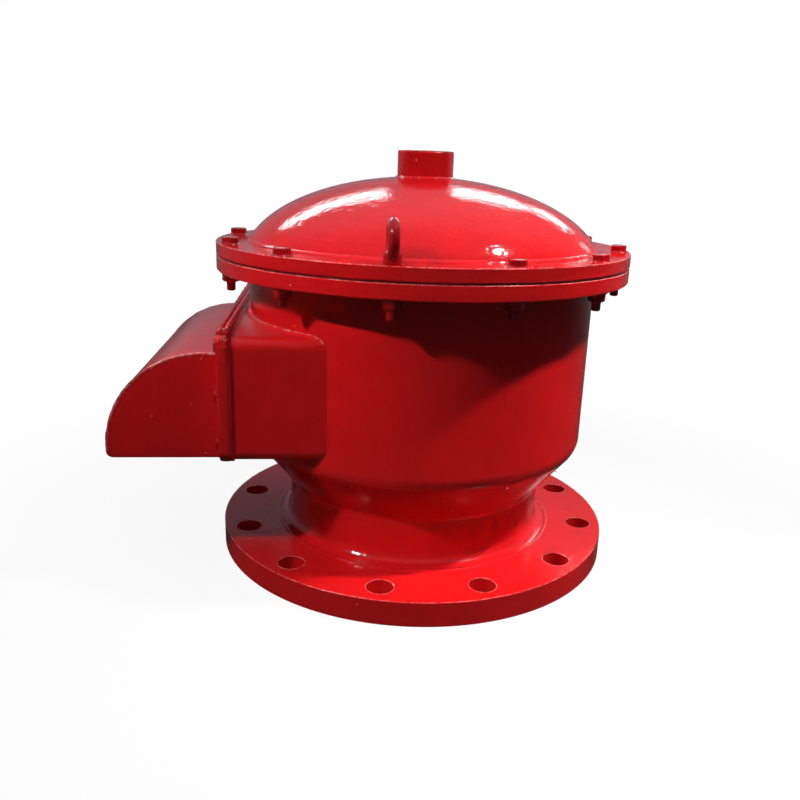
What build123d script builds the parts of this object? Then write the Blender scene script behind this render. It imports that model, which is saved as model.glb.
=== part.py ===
from build123d import *
import os
from math import atan2, cos, pi, radians, sin, sqrt

# Pressure vacuum relief valve for a storage tank, in millimetres.
# The origin is the middle of the tank flange's face. The tank is below, the outlet hood points along -X.

# Tank flange and the nozzle that stands on it
TANK_BOLT_CIRCLE = 355.0
TANK_BOLT_TO_EDGE = 22.5
TANK_BOLT_COUNT = 12
TANK_BOLT_HOLE = 25.0
TANK_FLANGE_THICKNESS = 24.0
NOZZLE_BORE = 250.0
NOZZLE_WALL = 6.0
TOE_WELD = 12.5

# Body: a cone that turns into a cylinder, welded round the nozzle
NECK_HEIGHT = 45.0
CONE_RISE = 47.3
CONE_SPREAD = 38.0
BODY_WALL = 6.0
KNUCKLE_RADIUS = 19.0

# Outlet duct on the side of the body
DUCT_ABOVE_CONE = 13.1
DUCT_HEIGHT = 109.6
DUCT_HALF_WIDTH = 141.0
DUCT_REACH = 7.0
DUCT_WALL = 4.0
DUCT_CORNER = 10.0
WINDOW_EDGE = 1.0
WINDOW_SIDE_EDGE = 7.0
WINDOW_CORNER = 10.0

# The pair of rings that close the body
RING_ABOVE_DUCT = 43.0
RING_LAND = 31.0
RING_BOLT_PLACE = 20.5
BODY_RING_THICKNESS = 13.0
COVER_RING_THICKNESS = 11.5
COVER_GASKET_THICKNESS = 1.5
COVER_GASKET_INSET = 3.0
RING_WELD_RECESS = 3.0
EDGE_BREAK = 0.8

# Cover bolts, in places turned a little (degrees) from those that straddle the outlet
COVER_BOLT_COUNT = 12
COVER_TURN = 1.5
COVER_BOLT_D = 8.0
COVER_BOLT_PLAY = 0.5
COVER_BOLT_ACROSS_FLATS = 14.0
COVER_BOLT_HEAD = 6.2
COVER_NUT_HEIGHT = 6.5
COVER_WASHER_D = 17.0
COVER_WASHER_THICKNESS = 1.6
COVER_BOLT_STUB = 8.5

# Lifting eyes, which take the place of two cover bolts
EYE_HOLE = 16.0
EYE_WIRE = 9.0
EYE_COLLAR_D = 14.6
EYE_COLLAR_HEIGHT = 10.5
EYE_COLLAR_ROUND = 4.0
EYE_LOWEST_GAP = 1.8

# Dished cover
DOME_FOOT_OVER_BODY = 1.0
DOME_SEMI_HEIGHT = 86.0
DOME_EQUATOR_DROP = 23.0
DOME_WALL = 5.0

# Guide boss and its bush
BOSS_WALL = 5.0
BOSS_ABOVE_DOME = 23.6
BOSS_REACH_DOWN = 49.0
BOSS_ROOF = 6.6
BOSS_EDGE_ROUND = 3.0
BUSH_WALL = 4.0
BUSH_FLANGE = 3.0

# Frame plates between duct and hood, and the screen they clamp
FRAME_SIDE_LIP = 1.5
FRAME_TOP_LIP = 5.0
FRAME_BOTTOM_LIP = 1.6
FRAME_PLATE = 4.0
FRAME_CORNER = 13.0
OPENING_SILL = 1.0
SCREEN_THICKNESS = 1.2
SCREEN_INSET = 1.5
SCREEN_PITCH = 12.0
SCREEN_BAR = 2.0
FRAME_BOLT_D = 6.0
FRAME_BOLT_PLAY = 0.3
FRAME_BOLT_ACROSS_FLATS = 10.0
FRAME_BOLT_HEAD = 4.0
FRAME_NUT_HEIGHT = 5.0
FRAME_BOLT_SPARE = 2.0
FRAME_TOP_COUNT = 6
FRAME_SIDE_COUNT = 2
FRAME_BOLT_ABOVE_FLOOR = 9.6

# Rain hood, a step smaller than the duct
HOOD_STEP_IN = 16.0
HOOD_BELOW_DUCT = 1.8
HOOD_FLAT_ROOF = 12.8
HOOD_STRAIGHT_FRONT = 8.0
HOOD_WALL = 3.0
HOOD_EDGE_ROUND = 2.0
HOOD_CORNER_ROUND = 6.0

# Pressure seat
SEAT_ABOVE_DUCT_FLOOR = 8.6
SEAT_LAND = 15.0
SEAT_COLLAR_HEIGHT = 8.0
SEAT_GASKET_THICKNESS = 1.0
SEAT_GASKET_INSET = 1.0
SEAT_RING_THICKNESS = 10.0
SEAT_STEP_IN = 6.0
SEAT_LIP_FROM_BORE = 3.0
SEAT_LIP_HEIGHT = 7.0
SEAT_LIP_WIDTH = 6.0
SEAT_LIP_FLARE = 1.5
SEAT_SCREW_COUNT = 12
SEAT_SCREW_FROM_EDGE = 7.0
SEAT_SCREW_D = 6.0
SEAT_SCREW_HEAD_D = 10.0
SEAT_SCREW_HEAD = 5.5

# Pressure pallet
PRESSURE_LIFT = 40.0
PALLET_OVER_LIP = 3.0
PALLET_THICKNESS = 6.0
SEAL_THICKNESS = 3.0
SEAL_WIDTH = 19.0
RETAINER_WIDTH = 12.0
RETAINER_THICKNESS = 3.0
RETAINER_SCREW_COUNT = 12
RETAINER_SCREW_D = 4.0
RETAINER_SCREW_HEAD_D = 7.0
RETAINER_SCREW_HEAD = 2.5
WEIGHT_FROM_EDGE = 7.0
WEIGHT_FROM_SPIDER = 6.0
WEIGHT_THICKNESS = 10.0
WEIGHT_STUD_COUNT = 3
WEIGHT_STUD_D = 8.0
WEIGHT_STUD_SPARE = 2.5
WEIGHT_NUT_ACROSS_FLATS = 13.0
WEIGHT_NUT_HEIGHT = 6.5

# Vacuum valve inside the pressure pallet
VACUUM_PORT = 116.0
VACUUM_DROP = 20.0
VACUUM_SEAT_DEPTH = 8.0
VACUUM_SEAT_WIDTH = 7.0
VACUUM_SEAT_BEVEL = 2.0
VACUUM_PALLET_OVERLAP = 10.0
VACUUM_PALLET_THICKNESS = 4.0
VACUUM_SEAL_THICKNESS = 3.0
VACUUM_SEAL_WIDTH = 30.0
VACUUM_CLAMP_THICKNESS = 3.0
VACUUM_CLAMP_FROM_PORT = 3.0
STEM_D = 12.0
STEM_HEAD_D = 22.0
STEM_HEAD_HEIGHT = 6.0
STEM_NUT_ACROSS_FLATS = 18.0
STEM_NUT_HEIGHT = 7.0
STEM_SPARE = 4.0

# Guide parts and spring
SLEEVE_OD = 36.0
SLEEVE_WALL = 4.0
SLEEVE_TOP_GAP = 2.0
SPIDER_RING_WIDTH = 12.0
SPIDER_RING_HEIGHT = 6.0
SPIDER_RING_FROM_PORT = 4.0
SPIDER_ARM_COUNT = 4
SPIDER_ARM_WIDTH = 8.0
SPIDER_RISE = 35.0
SPIDER_HUB_LAND = 3.0
SPIDER_HUB_HEIGHT = 14.0
SPRING_WIRE = 2.4
SPRING_TURN_COUNT = 7
SPRING_RESERVE = 10.8
SPRING_CAP_THICKNESS = 4.0
SPRING_CAP_PLAY = 1.0

# Clearances: beside a weld or a press fit, beside a loose piece, and where one piece runs in another
WELD_GAP = 0.2
LOOSE_GAP = 0.3
RUNNING_GAP = 0.06

# Radii of the housing
nozzle_in = NOZZLE_BORE / 2
nozzle_out = nozzle_in + NOZZLE_WALL
tank_bolt_r = TANK_BOLT_CIRCLE / 2
body_out = nozzle_out + CONE_SPREAD
body_in = body_out - BODY_WALL
ring_out = body_out + RING_LAND
ring_bolt_r = body_out + RING_BOLT_PLACE
sleeve_out = SLEEVE_OD / 2
sleeve_in = sleeve_out - SLEEVE_WALL
boss_in = sleeve_out + BUSH_WALL
boss_out = boss_in + BOSS_WALL

# Heights of the housing, from the tank flange upwards
cone_foot = TANK_FLANGE_THICKNESS + NECK_HEIGHT
cone_corner = cone_foot + CONE_RISE
duct_floor = cone_corner + DUCT_ABOVE_CONE
duct_top = duct_floor + DUCT_HEIGHT
duct_middle = (duct_floor + duct_top) / 2
nozzle_top = duct_floor + SEAT_ABOVE_DUCT_FLOOR
body_ring_bottom = duct_top + RING_ABOVE_DUCT
body_ring_top = body_ring_bottom + BODY_RING_THICKNESS
cover_ring_bottom = body_ring_top + COVER_GASKET_THICKNESS
cover_ring_top = cover_ring_bottom + COVER_RING_THICKNESS
dome_equator = cover_ring_top - DOME_EQUATOR_DROP
dome_top = dome_equator + DOME_SEMI_HEIGHT
boss_top = dome_top + BOSS_ABOVE_DOME
boss_bottom = dome_top - BOSS_REACH_DOWN
boss_ceiling = boss_top - BOSS_ROOF

# Heights of the seats and pallets, from the nozzle's top upwards
seat_gasket_top = nozzle_top + SEAT_GASKET_THICKNESS
seat_ring_top = seat_gasket_top + SEAT_RING_THICKNESS
seat_z = seat_ring_top + SEAT_LIP_HEIGHT
plate_bottom = seat_z + SEAL_THICKNESS
plate_top = plate_bottom + PALLET_THICKNESS
vacuum_seat_z = plate_bottom - VACUUM_SEAT_DEPTH
vacuum_plate_top = vacuum_seat_z - VACUUM_SEAL_THICKNESS
vacuum_plate_bottom = vacuum_plate_top - VACUUM_PALLET_THICKNESS
hub_top = plate_top + SPIDER_RISE
sleeve_top = boss_ceiling - SLEEVE_TOP_GAP - PRESSURE_LIFT

# Radii of the seats and pallets
collar_out = nozzle_out + SEAT_LAND
seat_bore = nozzle_in - SEAT_STEP_IN
lip_in = seat_bore + SEAT_LIP_FROM_BORE
lip_out = lip_in + SEAT_LIP_WIDTH
seat_screw_r = collar_out - SEAT_SCREW_FROM_EDGE
pallet_r = lip_out + PALLET_OVER_LIP
seal_in = pallet_r - SEAL_WIDTH
retainer_out = seal_in - LOOSE_GAP
retainer_in = retainer_out - RETAINER_WIDTH
port_r = VACUUM_PORT / 2
vacuum_seat_out = port_r + VACUUM_SEAT_WIDTH
vacuum_pallet_r = port_r + VACUUM_PALLET_OVERLAP
vacuum_seal_in = vacuum_pallet_r - VACUUM_SEAL_WIDTH
spider_in = port_r + SPIDER_RING_FROM_PORT
spider_out = spider_in + SPIDER_RING_WIDTH
hub_r = sleeve_out + SPIDER_HUB_LAND
weight_in = spider_out + WEIGHT_FROM_SPIDER
weight_out = pallet_r - WEIGHT_FROM_EDGE
stem_r = STEM_D / 2


def circle_angles(count, shift=0.5):
    """Evenly spaced angles that straddle the outlet, or start on the opposite side with no shift."""
    return [360 / count * (place + shift) for place in range(count)]


def spots(radius, angles):
    """Places on a circle, each turned to face outwards."""
    return [Location((radius * cos(radians(a)), radius * sin(radians(a)), 0), (0, 0, a)) for a in angles]


tank_bolt_spots = spots(tank_bolt_r, circle_angles(TANK_BOLT_COUNT))
cover_angles = [angle + COVER_TURN for angle in circle_angles(COVER_BOLT_COUNT)]
cover_spots = spots(ring_bolt_r, cover_angles)
eye_places = (COVER_BOLT_COUNT // 4 - 1, 3 * COVER_BOLT_COUNT // 4 - 1)
eye_spots = [cover_spots[place] for place in eye_places]
hex_spots = [spot for place, spot in enumerate(cover_spots) if place not in eye_places]
cover_hole_r = COVER_BOLT_D / 2 + COVER_BOLT_PLAY


def keep(part, name):
    """Label a finished piece and write its file."""
    part.label = name
    export_step(part, f"parts/{name}.step")


def flat_ring(outer, inner, bottom, height):
    """A plain flat ring or washer about the valve's axis."""
    with BuildPart() as ring:
        with BuildSketch(Plane.XY.offset(bottom)):
            Circle(outer)
            Circle(inner, mode=Mode.SUBTRACT)
        extrude(amount=height)
    return ring.part


os.makedirs("parts", exist_ok=True)

# Tank flange: a flat plate with the nozzle's bore and twelve through holes
with BuildPart() as base_flange:
    with BuildSketch(Plane.XY):
        Circle(tank_bolt_r + TANK_BOLT_TO_EDGE)
        Circle(nozzle_in, mode=Mode.SUBTRACT)
        with Locations(*tank_bolt_spots):
            Circle(TANK_BOLT_HOLE / 2, mode=Mode.SUBTRACT)
    extrude(amount=TANK_FLANGE_THICKNESS)
    rims = base_flange.edges().filter_by(GeomType.CIRCLE).filter_by(lambda e: e.radius > tank_bolt_r)
    chamfer(rims, EDGE_BREAK)
keep(base_flange.part, "base_flange")

# Nozzle: the tube from the tank flange up to the seat, with its hollow toe weld
with BuildPart() as nozzle_tube:
    with BuildSketch(Plane.XZ):
        with BuildLine():
            inner_foot = (nozzle_in, TANK_FLANGE_THICKNESS)
            toe = (nozzle_out + TOE_WELD, TANK_FLANGE_THICKNESS)
            weld_top = (nozzle_out, TANK_FLANGE_THICKNESS + TOE_WELD)
            weld_hollow = TOE_WELD * (1 - cos(pi / 4))
            weld_middle = (nozzle_out + weld_hollow, TANK_FLANGE_THICKNESS + weld_hollow)
            Line(inner_foot, toe)
            ThreePointArc(toe, weld_middle, weld_top)
            Polyline(weld_top, (nozzle_out, nozzle_top), (nozzle_in, nozzle_top), inner_foot)
        make_face()
    revolve(axis=Axis.Z)
keep(nozzle_tube.part, "nozzle_tube")

# Body: cone, knuckle and cylinder rolled from one thickness, with the outlet window cut in its side
cone_slope = atan2(CONE_SPREAD, CONE_RISE)
cone_foot_r = nozzle_out + WELD_GAP
outer_corner = (body_out, cone_corner)
inner_foot_z = cone_foot + BODY_WALL / sin(cone_slope)
inner_corner = (body_in, inner_foot_z + (body_in - nozzle_out) / CONE_SPREAD * CONE_RISE)
body_top = body_ring_top - RING_WELD_RECESS
with BuildPart() as body_shell:
    with BuildSketch(Plane.XZ) as body_section:
        with BuildLine():
            Polyline((cone_foot_r, cone_foot), outer_corner, (body_out, body_top), (body_in, body_top),
                     inner_corner, (cone_foot_r, inner_foot_z), close=True)
        make_face()
        corners = body_section.vertices()
        fillet(corners.sort_by_distance(outer_corner)[0], KNUCKLE_RADIUS)
        corners = body_section.vertices()
        fillet(corners.sort_by_distance(inner_corner)[0], KNUCKLE_RADIUS - BODY_WALL)
    revolve(axis=Axis.Z)
    with BuildSketch(Plane.YZ):
        with Locations((0, duct_middle)):
            window_width = 2 * (DUCT_HALF_WIDTH - DUCT_WALL - WINDOW_SIDE_EDGE)
            window_height = DUCT_HEIGHT - 2 * (DUCT_WALL + WINDOW_EDGE)
            RectangleRounded(window_width, window_height, WINDOW_CORNER)
    extrude(amount=-2 * body_out, mode=Mode.SUBTRACT)
keep(body_shell.part, "body_shell")

# Body ring: slipped over the top of the cylinder
with BuildPart() as body_flange_ring:
    with BuildSketch(Plane.XY.offset(body_ring_bottom)):
        Circle(ring_out)
        Circle(body_out + WELD_GAP, mode=Mode.SUBTRACT)
        with Locations(*cover_spots):
            Circle(cover_hole_r, mode=Mode.SUBTRACT)
    extrude(amount=BODY_RING_THICKNESS)
    rims = body_flange_ring.edges().filter_by(GeomType.CIRCLE).filter_by(lambda e: e.radius > ring_bolt_r)
    chamfer(rims, EDGE_BREAK)
keep(body_flange_ring.part, "body_flange_ring")

# Cover gasket: a flat ring a little smaller than the rings, which leaves the dark groove round the joint
with BuildPart() as cover_gasket:
    with BuildSketch(Plane.XY.offset(body_ring_top)):
        Circle(ring_out - COVER_GASKET_INSET)
        Circle(body_out + DOME_FOOT_OVER_BODY, mode=Mode.SUBTRACT)
        with Locations(*cover_spots):
            Circle(cover_hole_r, mode=Mode.SUBTRACT)
    extrude(amount=COVER_GASKET_THICKNESS)
keep(cover_gasket.part, "cover_gasket")

# Cover ring: the flat ring below the dished head
with BuildPart() as cover_flange_ring:
    with BuildSketch(Plane.XY.offset(cover_ring_bottom)):
        Circle(ring_out)
        Circle(body_in, mode=Mode.SUBTRACT)
        with Locations(*cover_spots):
            Circle(cover_hole_r, mode=Mode.SUBTRACT)
    extrude(amount=COVER_RING_THICKNESS)
    rims = cover_flange_ring.edges().filter_by(GeomType.CIRCLE).filter_by(lambda e: e.radius > ring_bolt_r)
    chamfer(rims, EDGE_BREAK)
keep(cover_flange_ring.part, "cover_flange_ring")

# Dished head: the upper part of a two-to-one ellipsoid, standing on the cover ring
dome_foot_r = body_out + DOME_FOOT_OVER_BODY
dome_semi_width = dome_foot_r / sqrt(1 - (DOME_EQUATOR_DROP / DOME_SEMI_HEIGHT) ** 2)
with BuildPart() as cover_dome:
    with BuildSketch(Plane.XZ):
        with Locations((0, dome_equator)):
            Ellipse(dome_semi_width, DOME_SEMI_HEIGHT)
            Ellipse(dome_semi_width - DOME_WALL, DOME_SEMI_HEIGHT - DOME_WALL, mode=Mode.SUBTRACT)
        with Locations((boss_out + WELD_GAP, cover_ring_top)):
            Rectangle(dome_semi_width, DOME_SEMI_HEIGHT, align=(Align.MIN, Align.MIN), mode=Mode.INTERSECT)
    revolve(axis=Axis.Z)
keep(cover_dome.part, "cover_dome")

# Guide boss: a closed round cap that passes through the head, bored from below
with BuildPart() as guide_boss:
    with BuildSketch(Plane.XY.offset(boss_bottom)):
        Circle(boss_out)
    extrude(amount=boss_top - boss_bottom)
    fillet(guide_boss.faces().sort_by(Axis.Z)[-1].edges(), BOSS_EDGE_ROUND)
    with BuildSketch(Plane.XY.offset(boss_bottom)):
        Circle(boss_in)
    extrude(amount=boss_ceiling - boss_bottom, mode=Mode.SUBTRACT)
keep(guide_boss.part, "guide_boss")

# Guide bush: a flanged sleeve pressed into the boss from below
with BuildPart() as guide_bush:
    with BuildSketch(Plane.XZ):
        with BuildLine():
            bush_in = sleeve_out + RUNNING_GAP
            bush_top = boss_ceiling - LOOSE_GAP
            Polyline((bush_in, boss_bottom - BUSH_FLANGE), (boss_out, boss_bottom - BUSH_FLANGE),
                     (boss_out, boss_bottom), (boss_in - WELD_GAP, boss_bottom),
                     (boss_in - WELD_GAP, bush_top), (bush_in, bush_top), close=True)
        make_face()
    revolve(axis=Axis.Z)
keep(guide_bush.part, "guide_bush")

# Cover bolts: ten hexagon bolts from above, each with a rounded end below its nut
nut_underside = body_ring_bottom - COVER_WASHER_THICKNESS - COVER_NUT_HEIGHT
bolt_end = nut_underside - COVER_BOLT_STUB
with BuildPart() as cover_bolts:
    with BuildSketch(Plane.XY.offset(cover_ring_top)):
        with Locations(*hex_spots):
            RegularPolygon(COVER_BOLT_ACROSS_FLATS / 2, 6, major_radius=False)
    extrude(amount=COVER_BOLT_HEAD)
    with BuildSketch(Plane.XY.offset(bolt_end)):
        with Locations(*hex_spots):
            Circle(COVER_BOLT_D / 2)
    extrude(amount=cover_ring_top - bolt_end)
    chamfer(cover_bolts.faces().sort_by(Axis.Z)[:len(hex_spots)].edges(), COVER_BOLT_D / 8)
keep(cover_bolts.part, "cover_bolts")

# Washers and nuts below the body ring, for the bolts and the eyes alike
with BuildPart() as cover_washers:
    with BuildSketch(Plane.XY.offset(body_ring_bottom - COVER_WASHER_THICKNESS)):
        with Locations(*cover_spots):
            Circle(COVER_WASHER_D / 2)
            Circle(cover_hole_r, mode=Mode.SUBTRACT)
    extrude(amount=COVER_WASHER_THICKNESS)
keep(cover_washers.part, "cover_washers")

with BuildPart() as cover_nuts:
    with BuildSketch(Plane.XY.offset(nut_underside)):
        with Locations(*cover_spots):
            RegularPolygon(COVER_BOLT_ACROSS_FLATS / 2, 6, major_radius=False)
            Circle(COVER_BOLT_D / 2 + WELD_GAP, mode=Mode.SUBTRACT)
    extrude(amount=COVER_NUT_HEIGHT)
keep(cover_nuts.part, "cover_nuts")

# Lifting eyes: a forged ring on a collar and shank, its hole facing along X
eye_ring_r = (EYE_HOLE + EYE_WIRE) / 2
eye_centre_z = cover_ring_top + EYE_LOWEST_GAP + EYE_HOLE / 2 + EYE_WIRE
for name, spot in zip(("lifting_eye_rear", "lifting_eye_front"), eye_spots):
    eye_x = spot.position.X
    eye_y = spot.position.Y
    with BuildPart() as lifting_eye:
        with BuildSketch(Plane.XY.offset(cover_ring_top)):
            with Locations((eye_x, eye_y)):
                Circle(EYE_COLLAR_D / 2)
        extrude(amount=EYE_COLLAR_HEIGHT)
        fillet(lifting_eye.edges().sort_by(Axis.Z)[-1], EYE_COLLAR_ROUND)
        with BuildSketch(Plane.XY.offset(bolt_end)):
            with Locations((eye_x, eye_y)):
                Circle(COVER_BOLT_D / 2)
        extrude(amount=cover_ring_top - bolt_end)
        with Locations(Location((eye_x, eye_y, eye_centre_z), (0, 90, 0))):
            Torus(eye_ring_r, EYE_WIRE / 2)
    keep(lifting_eye.part, name)

# Outlet duct: a box with rounded corners, shaped to the cylinder where it is welded on
duct_end = body_out + DUCT_REACH
with BuildPart() as outlet_duct:
    with BuildSketch(Plane.YZ.offset(-duct_end)):
        with Locations((0, duct_middle)):
            RectangleRounded(2 * DUCT_HALF_WIDTH, DUCT_HEIGHT, DUCT_CORNER)
            RectangleRounded(2 * (DUCT_HALF_WIDTH - DUCT_WALL), DUCT_HEIGHT - 2 * DUCT_WALL,
                             DUCT_CORNER - DUCT_WALL, mode=Mode.SUBTRACT)
    extrude(amount=duct_end)
    with Locations((0, 0, duct_middle)):
        Cylinder(body_out + WELD_GAP, 2 * DUCT_HEIGHT, mode=Mode.SUBTRACT)
keep(outlet_duct.part, "outlet_duct")

# Frame plates and screen: places shared by the three of them
frame_half_width = DUCT_HALF_WIDTH + FRAME_SIDE_LIP
frame_bottom = duct_floor - FRAME_BOTTOM_LIP
frame_top = duct_top + FRAME_TOP_LIP
frame_height = frame_top - frame_bottom
frame_middle = (frame_top + frame_bottom) / 2
hood_half_width = DUCT_HALF_WIDTH - HOOD_STEP_IN
hood_roof = duct_top - HOOD_STEP_IN
opening_half_width = hood_half_width - HOOD_WALL
opening_top = hood_roof - HOOD_WALL
opening_bottom = duct_floor + DUCT_WALL + OPENING_SILL
opening_height = opening_top - opening_bottom
opening_middle = (opening_top + opening_bottom) / 2
bolt_y = (hood_half_width + DUCT_HALF_WIDTH - DUCT_WALL) / 2
bolt_z = (hood_roof + duct_top - DUCT_WALL) / 2
top_step = 2 * hood_half_width / (FRAME_TOP_COUNT - 1)
side_step = (bolt_z - duct_floor - DUCT_WALL - FRAME_BOLT_ABOVE_FLOOR) / FRAME_SIDE_COUNT
side_rows = [bolt_z - side_step * (place + 1) for place in range(FRAME_SIDE_COUNT)]
frame_bolt_points = [(top_step * k - hood_half_width, bolt_z) for k in range(FRAME_TOP_COUNT)]
frame_bolt_points += [(side * bolt_y, row) for side in (-1, 1) for row in side_rows]
frame_hole_r = FRAME_BOLT_D / 2 + FRAME_BOLT_PLAY
duct_plate_x = -duct_end - FRAME_PLATE
screen_x = duct_plate_x - SCREEN_THICKNESS
hood_plate_x = screen_x - FRAME_PLATE


def frame_plate(x):
    """A frame plate whose back face is at x, with the outlet's opening and the bolt holes."""
    with BuildPart() as plate:
        with BuildSketch(Plane.YZ.offset(x)):
            with Locations((0, frame_middle)):
                RectangleRounded(2 * frame_half_width, frame_height, FRAME_CORNER)
            with Locations((0, opening_middle)):
                Rectangle(2 * opening_half_width, opening_height, mode=Mode.SUBTRACT)
            with Locations(*frame_bolt_points):
                Circle(frame_hole_r, mode=Mode.SUBTRACT)
        extrude(amount=FRAME_PLATE)
    return plate.part


keep(frame_plate(duct_plate_x), "duct_flange")
keep(frame_plate(hood_plate_x), "hood_flange")

# Screen: one punched sheet, clamped between the plates
mesh_columns = int((2 * opening_half_width - SCREEN_BAR) / SCREEN_PITCH)
mesh_rows = int((opening_height - SCREEN_BAR) / SCREEN_PITCH)
with BuildPart() as outlet_screen:
    with BuildSketch(Plane.YZ.offset(screen_x)):
        with Locations((0, frame_middle)):
            RectangleRounded(2 * (frame_half_width - SCREEN_INSET), frame_height - 2 * SCREEN_INSET,
                             FRAME_CORNER - SCREEN_INSET)
        with Locations((0, opening_middle)):
            with GridLocations(SCREEN_PITCH, SCREEN_PITCH, mesh_columns, mesh_rows):
                Rectangle(SCREEN_PITCH - SCREEN_BAR, SCREEN_PITCH - SCREEN_BAR, mode=Mode.SUBTRACT)
        with Locations(*frame_bolt_points):
            Circle(frame_hole_r, mode=Mode.SUBTRACT)
    extrude(amount=SCREEN_THICKNESS)
keep(outlet_screen.part, "outlet_screen")

# Rain hood: a sheet bent down over two side plates, open below and towards the screen
hood_back = hood_plate_x
hood_bottom = duct_floor - HOOD_BELOW_DUCT
hood_bend = hood_roof - hood_bottom - HOOD_STRAIGHT_FRONT
hood_front = hood_back - HOOD_FLAT_ROOF - hood_bend


def hood_outline(inset, back_x, bottom_z):
    """The hood's side view: flat roof, bend and straight front, set in by a wall thickness."""
    bend_x = hood_back - HOOD_FLAT_ROOF
    bend_z = hood_roof - hood_bend
    radius = hood_bend - inset
    bend_start = (bend_x, bend_z + radius)
    halfway = (bend_x - radius * cos(pi / 4), bend_z + radius * sin(pi / 4))
    bend_end = (bend_x - radius, bend_z)
    front_foot = (bend_x - radius, bottom_z)
    Polyline(bend_end, front_foot, (back_x, bottom_z), (back_x, bend_z + radius), bend_start)
    ThreePointArc(bend_start, halfway, bend_end)


with BuildPart() as rain_hood:
    with BuildSketch(Plane.XZ) as hood_side:
        with BuildLine():
            hood_outline(0, hood_back, hood_bottom)
        make_face()
        fillet(hood_side.vertices().sort_by_distance((hood_front, hood_bottom))[0], HOOD_CORNER_ROUND)
    extrude(amount=hood_half_width, both=True)
    side_faces = rain_hood.faces().filter_by(Axis.Y)
    upper_edges = side_faces.edges().filter_by(lambda e: e.center().Z > hood_bottom + HOOD_CORNER_ROUND
                                               and e.center().X < hood_back - HOOD_WALL)
    fillet(upper_edges, HOOD_EDGE_ROUND)
    with BuildSketch(Plane.XZ):
        with BuildLine():
            hood_outline(HOOD_WALL, hood_back + HOOD_WALL, hood_bottom - HOOD_WALL)
        make_face()
    extrude(amount=hood_half_width - HOOD_WALL, both=True, mode=Mode.SUBTRACT)
keep(rain_hood.part, "rain_hood")

# Frame bolts: heads in the hood's lip, nuts inside the duct
frame_nut_x = -duct_end
with BuildPart() as hood_bolts:
    with BuildSketch(Plane.YZ.offset(hood_plate_x)):
        with Locations(*frame_bolt_points):
            RegularPolygon(FRAME_BOLT_ACROSS_FLATS / 2, 6, major_radius=False, rotation=30)
    extrude(amount=-FRAME_BOLT_HEAD)
    with BuildSketch(Plane.YZ.offset(hood_plate_x)):
        with Locations(*frame_bolt_points):
            Circle(FRAME_BOLT_D / 2)
    extrude(amount=frame_nut_x + FRAME_NUT_HEIGHT + FRAME_BOLT_SPARE - hood_plate_x)
keep(hood_bolts.part, "hood_bolts")

with BuildPart() as hood_nuts:
    with BuildSketch(Plane.YZ.offset(frame_nut_x)):
        with Locations(*frame_bolt_points):
            RegularPolygon(FRAME_BOLT_ACROSS_FLATS / 2, 6, major_radius=False, rotation=30)
            Circle(FRAME_BOLT_D / 2 + WELD_GAP, mode=Mode.SUBTRACT)
    extrude(amount=FRAME_NUT_HEIGHT)
keep(hood_nuts.part, "hood_nuts")

# Seat parts on top of the nozzle
collar_bottom = nozzle_top - SEAT_COLLAR_HEIGHT
seat_screw_spots = spots(seat_screw_r, circle_angles(SEAT_SCREW_COUNT, 0))
seat_screw_hole = SEAT_SCREW_D / 2 + WELD_GAP


def drilled_ring(outer, inner, bottom, height, hole_spots, hole_r):
    """A flat ring about the valve's axis with a circle of holes."""
    with BuildPart() as ring:
        with BuildSketch(Plane.XY.offset(bottom)):
            Circle(outer)
            Circle(inner, mode=Mode.SUBTRACT)
            with Locations(*hole_spots):
                Circle(hole_r, mode=Mode.SUBTRACT)
        extrude(amount=height)
    return ring.part


keep(drilled_ring(collar_out, nozzle_out + WELD_GAP, collar_bottom, SEAT_COLLAR_HEIGHT, seat_screw_spots,
                  seat_screw_hole), "nozzle_collar")
gasket_in = nozzle_in + SEAT_GASKET_INSET
keep(drilled_ring(collar_out, gasket_in, nozzle_top, SEAT_GASKET_THICKNESS, seat_screw_spots,
                  seat_screw_hole), "seat_gasket")

# Pressure seat ring: turned, with a narrow raised lip
with BuildPart() as pressure_seat_ring:
    with BuildSketch(Plane.XZ):
        with BuildLine():
            Polyline((seat_bore, seat_gasket_top), (collar_out, seat_gasket_top), (collar_out, seat_ring_top),
                     (lip_out + SEAT_LIP_FLARE, seat_ring_top), (lip_out, seat_z), (lip_in, seat_z),
                     (seat_bore, seat_ring_top), close=True)
        make_face()
    revolve(axis=Axis.Z)
    with BuildSketch(Plane.XY.offset(seat_gasket_top)):
        with Locations(*seat_screw_spots):
            Circle(seat_screw_hole)
    extrude(amount=SEAT_RING_THICKNESS, mode=Mode.SUBTRACT)
keep(pressure_seat_ring.part, "pressure_seat_ring")

with BuildPart() as seat_screws:
    with BuildSketch(Plane.XY.offset(seat_ring_top)):
        with Locations(*seat_screw_spots):
            Circle(SEAT_SCREW_HEAD_D / 2)
    extrude(amount=SEAT_SCREW_HEAD)
    with BuildSketch(Plane.XY.offset(collar_bottom)):
        with Locations(*seat_screw_spots):
            Circle(SEAT_SCREW_D / 2)
    extrude(amount=seat_ring_top - collar_bottom)
keep(seat_screws.part, "seat_screws")

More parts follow.
